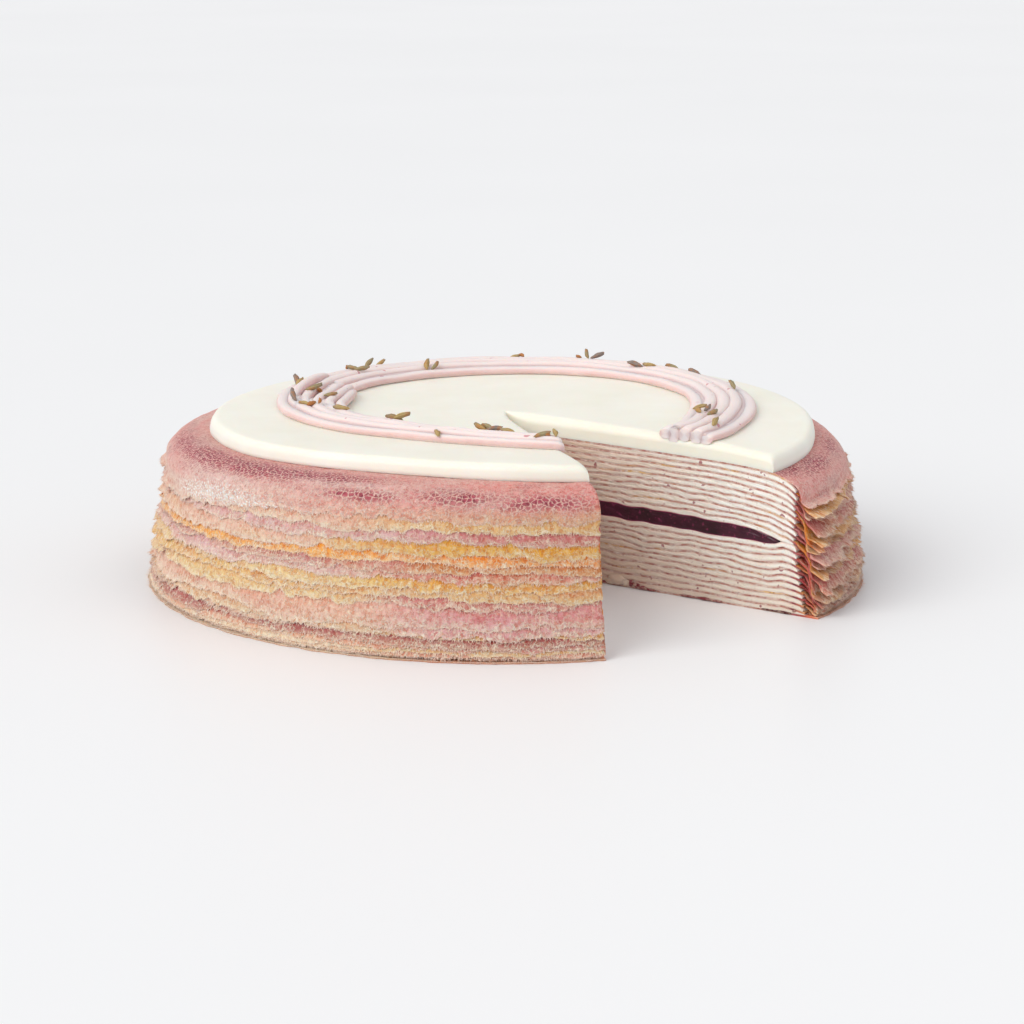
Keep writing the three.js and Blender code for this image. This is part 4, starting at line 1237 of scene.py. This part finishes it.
def jelly_slab(material):
    phi = round_the_cake(CREAM_COLUMNS)
    radii = np.array([RING_RADIUS, 91, 93.5, 95.5, 97, 98.2, 99, 99.6])
    r = np.broadcast_to(radii, (len(phi), len(radii)))
    wide = columnwise(phi, r)

    def face(phi, r):
        return jelly_face(phi, r, True), jelly_face(phi, r, False)

    upper, lower = face(wide, r)
    solid = cut_layer(CREPES_ABOVE + 0.5, phi, (r, upper), (r, lower), face, JELLY_RELIEF, JELLY_ROWS)
    solid.piece("jelly_slab", [material, material], "jelly", "jelly")


# ---------------------------------------------------------------- icing

# Painted shade: the icing's wall, the rounding of its top along the cuts, and its cut faces are a little
# darker.
ICING_WALL_SHADE = np.array([0.93, 0.94, 0.96])
ICING_LIP_SHADE = np.array([0.95, 0.95, 0.94])
ICING_CUT_SHADE = (0.98, 0.98, 0.975)
ICING_CLOSE = 1.6  # degrees beside each cut in which the columns are closer


def icing_radius(phi):
    x, y = step_along(phi)
    shift = ICING_SHIFT[0] * x + ICING_SHIFT[1] * y
    wander = 0.25 * noise(phi / 9, seed=91)
    return ICING_RADIUS + shift - ICING_DENT * bump(phi, ICING_DENT_AT, ICING_DENT_WIDTH) + wander


def apex_distance(phi, r):
    """As reach, but near the middle the radius is counted from the apex itself."""
    return np.where(r < 20, r, reach(phi, np.maximum(r, 20)))


def icing_top(phi, r):
    thickness = lerp(ICING_THICKNESS, ICING_EDGE_THICKNESS, (r / ICING_RADIUS) ** 2)
    edge = icing_radius(phi)
    fall = 0.5 * smoothstep(r, edge - 12, edge)
    x, y = step_along(phi, apex_distance(phi, r))
    swell = 0.18 * noise(x / 28, y / 28, seed=92) + 0.05 * noise(x / 9, y / 9, seed=93)
    return stack_top(phi, np.minimum(r, LIFT_RADIUS)) + thickness - fall + swell


def lip_share(phi, r):
    """Share of the icing's thickness that is left where its top rounds down to the cuts."""
    d = apex_distance(phi, r)
    turn = np.radians(np.clip(np.minimum(phi - RIGHT_CUT, LEFT_CUT - phi), 0, 90))
    lip = lerp(ICING_LIP_INSIDE, ICING_LIP, smoothstep(d, 15, 75)) * smoothstep(d, -2, 9)
    inward = np.clip(d * np.sin(turn) / np.maximum(lip, 0.01), 0, 1)
    fall = lip * (1 - np.sqrt(1 - (1 - inward) ** 2))
    return 1 - fall / ICING_THICKNESS


def icing_columns():
    """Directions from one cut to the other, close together beside the cuts."""
    close = np.array([0, 0.08, 0.2, 0.36, 0.58, 0.9])
    between = np.linspace(RIGHT_CUT + ICING_CLOSE, LEFT_CUT - ICING_CLOSE, ICING_COLUMNS)
    return np.concatenate([RIGHT_CUT + close, between, LEFT_CUT - close[::-1]])


def icing_disc(materials):
    phi = icing_columns()
    edge = icing_radius(phi)[:, None]
    radii = np.array([0.4, 1.2, 2.4, 5, 9, 14, 20, 30, 46, 58, 68, 76, 80])
    inner = np.broadcast_to(radii, (len(phi), len(radii)))
    flat = np.concatenate([inner, edge - np.array([6.5, 4.5, 3.0, ICING_ROUND])], axis=1)
    wide = columnwise(phi, flat)
    flat_z = icing_top(wide, flat)
    turn = np.radians([14, 30, 46, 62, 78, 90])
    round_r = edge - ICING_ROUND * (1 - np.sin(turn))
    round_z = flat_z[:, -1:] - ICING_ROUND * (1 - np.cos(turn))
    foot_z = stack_top(phi, edge[:, 0])[:, None] + SEAM
    wall = np.array([0.35, 0.7, 0.92, 1.0])
    wall_r = edge + 0.22 * np.sin(np.pi * wall) - 0.06 * (wall > 0.95)
    wall_z = lerp(round_z[:, -1:], foot_z, wall)
    r = np.concatenate([flat, round_r, wall_r], axis=1)
    z = np.concatenate([flat_z, round_z, wall_z], axis=1)
    low_r = np.minimum(r, edge - 0.2)
    wide = columnwise(phi, r)
    low_z = stack_top(wide, low_r) + SEAM
    z = low_z + (z - low_z) * lip_share(wide, r)
    # Painted shade on the wall and on the rounding along the cuts.
    wall_share = smoothstep(r, edge - 1.6, edge - 0.3)[..., None]
    tints = lerp(np.ones(3), ICING_WALL_SHADE, wall_share)
    tints = tints * lerp(np.ones(3), ICING_LIP_SHADE, smoothstep(1 - lip_share(wide, r), 0, 0.1)[..., None])
    icing_solid(phi, (r, z), (low_r, low_z), tints).piece("icing_disc", materials, "icing", "icing")


def icing_solid(phi, upper, lower, tints):
    """The icing as a grid above and below, closed at the rim and at the two cuts."""
    solid = Solid()
    grids = solid.shell(*(
        (points_at(columnwise(phi, r), r, z, apex_distance), stacked(r, side, 0.0), np.zeros(3), tints)
        for (r, z), side in ((upper, 1.0), (lower, 0.0))
    ))
    tips = []
    for grid, (_, z), level, sense in zip(grids, (upper, lower), (1.0, 0.0), (1, -1)):
        point = np.array([[*CUT_APEX, z[0, 0]]])
        tips.append(solid.add(point, [0, level, 0], tints=np.ones(3))[0])
        solid.triangles(tips[-1], grid[:-1, 0], grid[1:, 0], sense)
    for column, sense in BOTH_CUTS:
        lines = [np.concatenate([[tip], grid[column]]) for tip, grid in zip(tips, grids)]
        solid.cut_face(lines, sense)
    return solid


# ---------------------------------------------------------------- piping


def icing_height(x, y):
    r = np.hypot(x, y)
    phi = np.degrees(np.arctan2(y - CUT_APEX[1], x - CUT_APEX[0]))
    phi = np.where(phi < RIGHT_CUT, phi + 360, phi)
    return icing_top(phi, r) - ICING_THICKNESS * (1 - lip_share(phi, r))


def strand_pitch(theta):
    at, width = WREATH_CLOSEST
    return lerp(STRAND_PITCH, STRAND_PITCH_FRONT, bump(theta, at, width))


def wreath_radius(theta):
    return WREATH_RADIUS + sum(by * bump(theta, at, width) for by, at, width in WREATH_BENDS)


def wreath_point(theta, across, height):
    """A point on the wreath: direction from its own centre, offset outwards, height over the icing."""
    x, y = step_along(theta, wreath_radius(theta) + across)
    x, y = WREATH_CENTRE[0] + x, WREATH_CENTRE[1] + y
    return stacked(x, y, icing_height(x, y) + height)


STRAND_WIDTH = 0.56  # half of it, as a share of the distance between strands
STRAND_SIDES = 16
STRAND_TURN = 2 * np.pi * np.arange(STRAND_SIDES) / STRAND_SIDES
STRAND_SQUARENESS = 0.9  # 1 for an ellipse, less for a squarer section
STRAND_RISES = (0.68, 0.93, 1.0, 0.96, 0.64)  # height of each strand, from the inside out
STRAND_SINK = 0.15  # how far the strands go into the icing
STRAND_SHORT = 0.05  # step by which the strands' ends lie behind each other at the cuts
STRAND_STEP = -1.0  # degrees from one ring of points to the next, and for the icing in the grooves
GROOVE_STEP = -3.0
GROOVE_FILL = 1.2  # height of the icing that fills the grooves between strands, to its middle
GROOVE_DEPTH = 1.25  # half its height
GROOVE_WIDTH = 0.55  # half its width, as a share of the distance between strands
# Painted shade: the low strands that fill the grooves take this share of the grooves' deeper pink.
GROOVE_SHADE_SHARE = 0.8
PIPING_PINK = linear(0xEFDFDC)
# Painted shade: the deeper pink of the grooves between strands.
PIPING_GROOVE_SHADE = linear(0xDCB8B5)


def strand_rings(path, half_width, half_height, seed):
    """Rings of points along a strand whose section stays upright, with its direction at each ring."""
    tangent = np.gradient(path, axis=0)
    tangent /= np.linalg.norm(tangent, axis=1)[:, None]
    across = np.cross(tangent, np.array([0.0, 0.0, 1.0]))
    across /= np.linalg.norm(across, axis=1)[:, None]
    up = np.cross(across, tangent)
    a, b = (np.sign(f) * np.abs(f) ** STRAND_SQUARENESS for f in (np.cos(STRAND_TURN), np.sin(STRAND_TURN)))
    steps = np.arange(len(path))[:, None] / 3.0
    uneven = 1 + 0.04 * noise(steps, np.cos(STRAND_TURN) * 1.5, np.sin(STRAND_TURN) * 1.5 + seed, seed=7)
    offset = (a * uneven * half_width[:, None])[..., None] * across[:, None, :]
    offset = offset + (b * uneven * half_height[:, None])[..., None] * up[:, None, :]
    return path[:, None, :] + offset, tangent


def closed_tube(rings, flat_start=False, flat_end=False):
    """A closed tube: points, triangles, which of these are flat, and how far each point is in a groove."""
    ends = np.stack([rings[0].mean(axis=0), rings[-1].mean(axis=0)])
    faces = tube_faces(len(rings), STRAND_SIDES)
    flat = np.zeros(len(faces), bool)
    flat[-2 * STRAND_SIDES : -STRAND_SIDES] = flat_start
    flat[-STRAND_SIDES:] = flat_end
    groove = np.tile(smoothstep(np.abs(np.cos(STRAND_TURN)), 0.6, 1.0), len(rings))
    points = np.concatenate([rings.reshape(-1, 3), ends])
    return points, faces, flat, np.concatenate([groove, [0.0, 0.0]])


def sliced(rings, path, tangent, cut, sense, short):
    """The rings up to the plane of a cut, and there a ring that lies this short of it."""
    along, outward = cut_frame(cut, sense)
    apex = np.array([*CUT_APEX, 0.0]) - outward * short
    inside = (path - apex) @ outward < -0.6
    behind = (path - apex) @ along < 0  # on the far side of the apex, where the plane isn't cut
    keep = np.flatnonzero(inside | behind)
    last = keep[-1] if sense == 1 else keep[0]
    step = ((apex - rings[last]) @ outward) / (tangent[last] @ outward)
    ending = rings[last] + step[:, None] * tangent[last]
    return np.concatenate([rings[keep], [ending]] if sense == 1 else [[ending], rings[keep]])


def end_taper(count, start, end, length=5):
    """1 along the strand, rounding down at the ends that are free."""
    steps = np.arange(count)
    taper = np.ones(count)
    for free, away in ((start, steps), (end, count - 1 - steps)):
        if free:
            taper = taper * np.sqrt(np.clip(1 - (1 - np.minimum(away / length, 1)) ** 2, 0.02, 1))
    return taper


def band_directions(band, join, step):
    """Directions along a band: the first one starts at the join, and the second one ends there."""
    limits = ((join, WREATH_FAR_RIGHT), (WREATH_FAR_LEFT, join))[band]
    return np.arange(*limits, step)


def band_strand(band, theta, middle, half_width, half_height, lift, seed, short):
    """A strand of one band, cut off at the wedge: the first band at its right, the second at its left."""
    path = wreath_point(theta, middle, lift)
    rings, tangent = strand_rings(path, half_width, half_height, seed)
    cut, sense = ((RIGHT_CUT, 1), (LEFT_CUT, -1))[band]
    rings = sliced(rings, path, tangent, cut, sense, STRAND_SHORT * short)
    return closed_tube(rings, flat_start=band == 1, flat_end=band == 0)


def wreath_strands():
    """The strands of the two bands that make the wreath, meeting at the back left."""
    made = []
    for band in range(2):
        for strand in range(WREATH_STRANDS):
            seed = 100 + 10 * band + strand
            stagger = 2.5 * float(noise(strand * 3.7, band, seed=99))
            join = (WREATH_JOIN + 1 + stagger, WREATH_JOIN - 4)[band]
            theta = band_directions(band, join, STRAND_STEP)
            pitch = strand_pitch(theta)
            middle = (strand - (WREATH_STRANDS - 1) / 2) * pitch + 0.12 * pitch * noise(theta / 14, seed=seed)
            taper = end_taper(len(theta), band == 0, band == 1)
            rise = STRAND_HEIGHT / 2 + STRAND_SINK + 0.14 * noise(theta / 11, seed=seed + 5)
            half_height = STRAND_RISES[strand] * rise * taper
            half_width = STRAND_WIDTH * pitch * (1 + 0.04 * noise(theta / 5, seed=seed + 2)) * taper
            lift = half_height - STRAND_SINK
            made.append(band_strand(band, theta, middle, half_width, half_height, lift, seed, strand + 1))
        # A low strand fills each groove between two others, so that they are one mass where they are cut.
        theta = band_directions(band, (WREATH_JOIN - 8, WREATH_JOIN)[band], GROOVE_STEP)
        pitch = strand_pitch(theta)
        taper = end_taper(len(theta), band == 0, band == 1, 3)
        for groove in range(WREATH_STRANDS - 1):
            middle = (groove - (WREATH_STRANDS - 2) / 2) * pitch
            short = WREATH_STRANDS + 1 + groove
            sizes = (GROOVE_WIDTH * pitch * taper, GROOVE_DEPTH * taper, GROOVE_FILL)
            *tube, shade = band_strand(band, theta, middle, *sizes, 200 + groove, short)
            made.append((*tube, np.full(len(shade), GROOVE_SHADE_SHARE)))
    return made


# At the join the front band's strands rise over the back band and end inwards of it, like fingers:
# direction, offset and height along each.
CROSSINGS = (
    ((196, 4.6, 1.9), (187, 4.9, 2.6), (178, 3.7, 3.6),
     (168, 2.9, 4.1), (159, 2.8, 4.0), (153, 2.6, 3.5)),
    ((198, 1.8, 1.9), (190, 1.5, 2.7), (184, 0.0, 3.6),
     (176, -2.2, 4.0), (166, -3.0, 3.8), (159, -2.6, 3.2)),
    ((199, -1.4, 1.9), (192, -1.7, 2.7), (187, -3.7, 3.4),
     (179, -6.6, 3.5), (169, -7.7, 3.2), (161, -7.3, 2.7)),
    ((200, -4.4, 1.8), (193, -5.4, 2.6), (188, -7.4, 3.0),
     (179, -10.0, 3.0), (168, -10.8, 2.6), (160, -9.8, 2.2)),
    ((201, -7.4, 1.6), (193, -9.0, 2.0), (186, -11.4, 2.1),
     (175, -13.0, 1.9), (164, -12.4, 1.7)),
)
CROSSING_HALF_WIDTH = 1.62


def smooth_curve(points, steps):
    """A Catmull-Rom curve through the points."""
    padded = np.concatenate([2 * points[:1] - points[1:2], points, 2 * points[-1:] - points[-2:-1]])
    curve = []
    for p0, p1, p2, p3 in zip(padded, padded[1:], padded[2:], padded[3:]):
        square, cube = 2 * p0 - 5 * p1 + 4 * p2 - p3, 3 * p1 - p0 - 3 * p2 + p3
        for t in np.arange(steps) / steps:
            curve.append(0.5 * (2 * p1 + (p2 - p0) * t + square * t**2 + cube * t**3))
    return np.array([*curve, points[-1]])


def crossing_strands():
    made = []
    for number, course in enumerate(CROSSINGS):
        theta, across, height = np.array(course, float).T
        path = smooth_curve(wreath_point(theta, across, height), 8)
        taper = end_taper(len(path), True, True)
        uneven = 1 + 0.08 * noise(np.arange(len(path)) / 6, number, seed=121)
        width = CROSSING_HALF_WIDTH * uneven * taper
        made.append(closed_tube(strand_rings(path, width, width * 0.95, number)[0]))
    return made


def piped_wreath(material):
    points, faces, flat, grooves = joined(wreath_strands() + crossing_strands())
    # Painted shade: deeper pink in the grooves between strands.
    attributes = {"tint": lerp(PIPING_PINK, PIPING_GROOVE_SHADE, grooves[:, None])}
    piece = mesh_object("piped_wreath", points, faces, [material], attributes, ~flat)
    return placed(piece, "piping")


# ---------------------------------------------------------------- lavender

BUD_LENGTH = 5.6
BUD_RADIUS = 0.76
BUD_SIDES = 14
BUD_RIBS = 7
BUD_DROP_FROM = 80.0  # a height above everything
BUD_OLIVE = linear(0xB9AA82)
BUD_STRAW = linear(0xD2B67C)
BUD_VIOLET = linear(0xA5978F)
BUD_RUST = linear(0xCF8C54)

BUD_COLOURS = (BUD_OLIVE, BUD_STRAW, BUD_VIOLET, BUD_RUST)  # by kind
# How long and how thick each kind is. The last kind is broken off.
BUD_PARTS = ((1.0, 1.0), (1.0, 1.0), (1.0, 1.0), (0.55, 0.8))

# Each bud: direction from the wreath's centre, offset outwards, heading, tilt, kind.
BUDS = (
    (162, 9, 100, 25, 2), (168, 5, 60, 30, 1), (181, -2, 20, 15, 0), (179, -4, 130, 20, 3),
    (187, -7, 5, 10, 0), (190, 5, 110, 35, 2), (196, 3.5, 150, 5, 1), (198, 2, 40, 10, 3),
    (197, -1, 80, 35, 3), (205, -4.5, 165, 5, 1), (141, 6, 90, 15, 3), (141, 3, 150, 5, 0),
    (141, -1, 0, 10, 0), (132, 7, 60, 30, 0), (129, 6, 40, 30, 1), (119, -6, 85, 35, 1),
    (117, -7, 60, 30, 0), (90, 7, 10, 15, 1), (88, 6, 120, 5, 3), (70, 7, 100, 40, 0),
    (67, 6, 30, 15, 2), (72, 5, 150, 10, 3), (51, -2, 150, 10, 2), (47, 0, 165, 5, 1),
    (43, 6, 150, 10, 0), (35, 7, 140, 15, 2), (10, 5, 110, 30, 0), (342, -6, 20, 10, 1),
    (339, -3, 60, 15, 2), (336, -5, 100, 5, 1), (334, 0, 45, 10, 0), (325, 5, 70, 15, 1),
    (229, -5, 170, 15, 0), (231, -6, 30, 10, 1), (250, 6, 100, 10, 1), (260, -5, 150, 25, 1),
    (262, -6, 140, 15, 0), (264, -5, 10, 5, 2), (268, -4, 165, 15, 1), (276, 3, 20, 10, 0),
    (279, 1, 100, 15, 1), (277, 2, 160, 5, 3),
)


def bud_mesh(length, radius, colour, seed):
    """A dried bud: a ribbed, slightly bent cup, drawn in at its stalk and crumpled at its mouth."""
    share = np.array([0, 0.04, 0.12, 0.25, 0.42, 0.6, 0.76, 0.88, 0.96, 1.0])[:, None]
    width = np.array([0.12, 0.3, 0.55, 0.82, 0.97, 1.0, 0.9, 0.74, 0.62, 0.5])[:, None]
    turn = 2 * np.pi * np.arange(BUD_SIDES)[None] / BUD_SIDES
    ribs = 1 + 0.16 * np.cos(turn * BUD_RIBS)
    crumple = 1 + 0.3 * noise(turn * 1.4, share * 4, seed=seed)
    r = radius * width * ribs * crumple
    bent = 0.5 * radius * np.sin(share * np.pi) * (1 if seed % 2 else -1)
    x = length * (share - 0.5) + 0.25 * noise(turn, seed=seed + 3) * share**4
    rings = stacked(x, r * np.cos(turn) + bent, r * np.sin(turn))
    stalk, mouth = (-length / 2 - 0.3, bent[0, 0], 0), (length * 0.36, bent[-1, 0], 0)
    points = np.concatenate([rings.reshape(-1, 3), [stalk, mouth]])
    towards_mouth = smoothstep(share, 0.55, 1.0)
    # Painted shade: darker in the valleys between the ribs and at the point inside its mouth; the stalk's tip
    # is darker too.
    valley = np.clip(-np.cos(turn * BUD_RIBS), 0, 1)
    tint = lerp(colour, lerp(colour, BUD_VIOLET, 0.45), towards_mouth)[:, None, :]
    tint = tint * (1 - 0.38 * valley)[..., None]
    tints = np.concatenate([tint.reshape(-1, 3), [colour * 0.6], [BUD_VIOLET * 0.4]])
    sheets = np.concatenate([stacked(turn * radius, x, float(seed)).reshape(-1, 3), np.zeros((2, 3))])
    return points, tube_faces(len(share), BUD_SIDES)[:, ::-1], tints, sheets


def lavender_buds(wreath, material):
    corners = [tuple(vertex.co) for vertex in wreath.data.vertices]
    ground = BVHTree.FromPolygons(corners, [tuple(face.vertices) for face in wreath.data.polygons])
    buds = []
    for number, (theta, across, heading, tilt, kind) in enumerate(BUDS):
        size = 0.9 + 0.16 * float(noise(number * 1.7, seed=131))
        length, radius = (full * size * part for full, part in zip((BUD_LENGTH, BUD_RADIUS), BUD_PARTS[kind]))
        points, *rest = bud_mesh(length, radius, BUD_COLOURS[kind], 140 + number)
        a, b = math.radians(heading), math.radians(tilt)
        axis = np.array([math.cos(a) * math.cos(b), math.sin(a) * math.cos(b), math.sin(b)])
        side = np.array([-math.sin(a), math.cos(a), 0.0])
        spun = points[:, :1] * axis + points[:, 1:2] * side + points[:, 2:] * np.cross(axis, side)
        # The bud is let down until the lowest place under it, along its length, touches what is there.
        at = wreath_point(float(theta), float(across), 0.0)
        low = math.inf
        for share in (-0.4, -0.2, 0, 0.2, 0.4):
            here = at + axis * length * share
            above = Vector((here[0] * MM, here[1] * MM, BUD_DROP_FROM * MM))
            hit = ground.ray_cast(above, Vector((0, 0, -1)))[0]
            under = hit.z / MM if hit else at[2]
            low = min(low, axis[2] * length * share - under)
        buds.append((spun + np.array([at[0], at[1], -low + 0.55 * radius]), *rest))
    points, faces, tints, sheets = joined(buds)
    attributes = {"tint": tints, "sheet": sheets}
    placed(mesh_object("lavender_buds", points, faces, [material], attributes), "piping")


# ---------------------------------------------------------------- scraps and painted shadow at the foot of the right-hand cut

SCRAP_SIDES = 14
SCRAP_RINGS = 8
SCRAP_LOWEST = 0.03
WHITE = np.ones(3)

# Each: distance along the cut from the apex, out of it, height, half its length, depth and height, colour.
CREAM_SCRAPS = (
    (43.8, 0.1, 2.1, 3.4, 1.0, 1.5, WHITE),
    (41.2, 0.1, 1.3, 2.2, 0.8, 1.0, WHITE),
    (46.6, 0.1, 1.4, 1.6, 0.8, 1.1, WHITE),
)
SCRAP_RED = linear(0x8A4450)
# Painted shadow: the colour of the dark strips that stand for the shade where the bottom crepe lifts off the
# floor.
SCRAP_SHADOW = linear(0x62353C)
CREPE_SCRAPS_AND_SHADOW = (
    (37.5, 0.1, 0.75, 3.2, 0.45, 0.4, SCRAP_RED),
    (48.8, 0.2, 1.7, 0.9, 0.6, 1.1, SCRAP_RED),
    (50.8, 0.25, 1.2, 1.3, 0.7, 0.8, SCRAP_RED),
    (53.2, 0.25, 0.8, 1.5, 0.7, 0.6, SCRAP_RED),
    (56.0, 0.15, 0.5, 2.0, 0.5, 0.4, SCRAP_RED),
    (70.0, 0.1, 0.55, 3.4, 0.4, 0.35, SCRAP_RED),
    (75.5, 0.2, 0.65, 2.6, 0.55, 0.5, SCRAP_RED),
    (79.5, 0.15, 0.45, 2.4, 0.5, 0.35, SCRAP_RED),
    # These two dark strips are painted shadow, under the bottom crepe where it lifts.
    (99.0, 0.05, 0.45, 3.2, 0.3, 0.35, SCRAP_SHADOW),
    (103.4, 0.1, 0.45, 3.4, 0.35, 0.4, SCRAP_SHADOW),
    (107.2, 0.1, 1.5, 0.6, 0.4, 0.5, SCRAP_RED),
)


def scraps(name, table, material, slot):
    """Lumps that cling to the foot of the cut face, and dark strips of painted shadow there."""
    ahead, outward = cut_frame(RIGHT_CUT, 1)
    solid = Solid()
    turn = 2 * np.pi * np.arange(SCRAP_SIDES) / SCRAP_SIDES
    polar = np.linspace(0, np.pi, SCRAP_RINGS + 2)[1:-1, None]
    units = [np.cos(polar) + 0 * turn, np.sin(polar) * np.cos(turn), np.sin(polar) * np.sin(turn)]
    for number, (along, out, height, length, depth, rise, tint) in enumerate(table):
        bumpy = 1 + 0.3 * noise(*(1.6 * unit for unit in units), seed=160 + number)
        x, y, z = (unit * bumpy * half for unit, half in zip(units, (length, depth, rise)))
        centre = np.array([*CUT_APEX, height]) + ahead * along + outward * out
        points = centre + x[..., None] * ahead + y[..., None] * outward + z[..., None] * np.array([0, 0, 1.0])
        points[..., 2] = np.maximum(points[..., 2], SCRAP_LOWEST)
        rings = solid.add(points, [along, 0.5, 0.0], stacked(x, z + 5.0, float(number)), tint)
        follow = np.roll(rings, -1, axis=1)
        solid.quads(rings[:-1], rings[1:], follow[1:], follow[:-1])
        for row, end in ((0, 1), (-1, -1)):
            pole = centre + end * length * ahead
            pole[2] = max(pole[2], SCRAP_LOWEST)
            tip = solid.add(pole[None], [along, 0.5, 0.0], [end * length, 5.0, number], tint)[0]
            solid.triangles(tip, rings[row], follow[row], end)
    solid.piece(name, [material, material], slot)


# ---------------------------------------------------------------- stage, light and camera

CAMERA_PLACE = (0.0, -890.8, 218.7)
CAMERA_DOWN = 12.66
CAMERA_YAW = 0.13
CAMERA_LENS = 100.0
CAMERA_SENSOR = 36.0
FLOOR_REACH = 20000.0
SKY = (0.97, 0.98, 1.0)
SKY_STRENGTH = 0.68
# Each: name, strength, spread, tilt from straight down, turn, colour.
LAMPS = (
    ("window", 1.75, 50, 52, -50, (1.0, 0.99, 0.96)),
    ("fill", 0.25, 80, 60, 60, SKY),
)


def make_camera():
    data = bpy.data.cameras.new("camera")
    data.lens = CAMERA_LENS
    data.sensor_width = CAMERA_SENSOR
    camera = bpy.data.objects.new("camera", data)
    camera.location = [v * MM for v in CAMERA_PLACE]
    camera.rotation_euler = (math.radians(90 - CAMERA_DOWN), 0, math.radians(-CAMERA_YAW))
    bpy.context.scene.collection.objects.link(camera)
    bpy.context.scene.camera = camera


def make_floor():
    corners = FLOOR_REACH * np.array([(-1, -1, 0), (1, -1, 0), (1, 1, 0), (-1, 1, 0)])
    faces = np.array([(0, 1, 2), (0, 2, 3)])
    mesh_object("floor", corners, faces, [floor_material()], {}, smooth=False)


def make_light():
    world = bpy.data.worlds.new("studio")
    bpy.context.scene.world = world
    world.use_nodes = True
    background = world.node_tree.nodes["Background"]
    background.inputs["Color"].default_value = (*SKY, 1.0)
    background.inputs["Strength"].default_value = SKY_STRENGTH
    for name, strength, spread, tilt, turn, colour in LAMPS:
        data = bpy.data.lights.new(name, "SUN")
        data.energy = strength
        data.angle = math.radians(spread)
        data.color = colour
        lamp = bpy.data.objects.new(name, data)
        lamp.rotation_euler = (math.radians(tilt), 0, math.radians(turn))
        bpy.context.scene.collection.objects.link(lamp)
    bpy.context.scene.view_settings.view_transform = "Standard"


# ---------------------------------------------------------------- assembly

make_camera()
make_light()
make_floor()

crepe, cut_edge, cream = crepe_material(), crepe_cut_material(), cream_material()
rims = [top_crepe([top_crepe_material(), cut_edge])]
for number in range(2, CREPE_COUNT):
    rims.append(hanging_crepe(number, [crepe, cut_edge]))
rims.append(bottom_crepe([crepe, cut_edge]))
fringe(rims, fringe_material())
for number in range(1, CREPE_COUNT + 1):
    cream_layer(number, cream)
jelly_slab(jelly_material())
icing_disc([icing_material("icing", (1.0, 1.0, 1.0)), icing_material("icing_cut", ICING_CUT_SHADE)])
wreath = piped_wreath(piping_material())
lavender_buds(wreath, bud_material())
scraps("cream_scraps", CREAM_SCRAPS, cream, "cream")
scraps("crepe_scraps_and_shadow", CREPE_SCRAPS_AND_SHADOW, crepe, "crepe_rose")
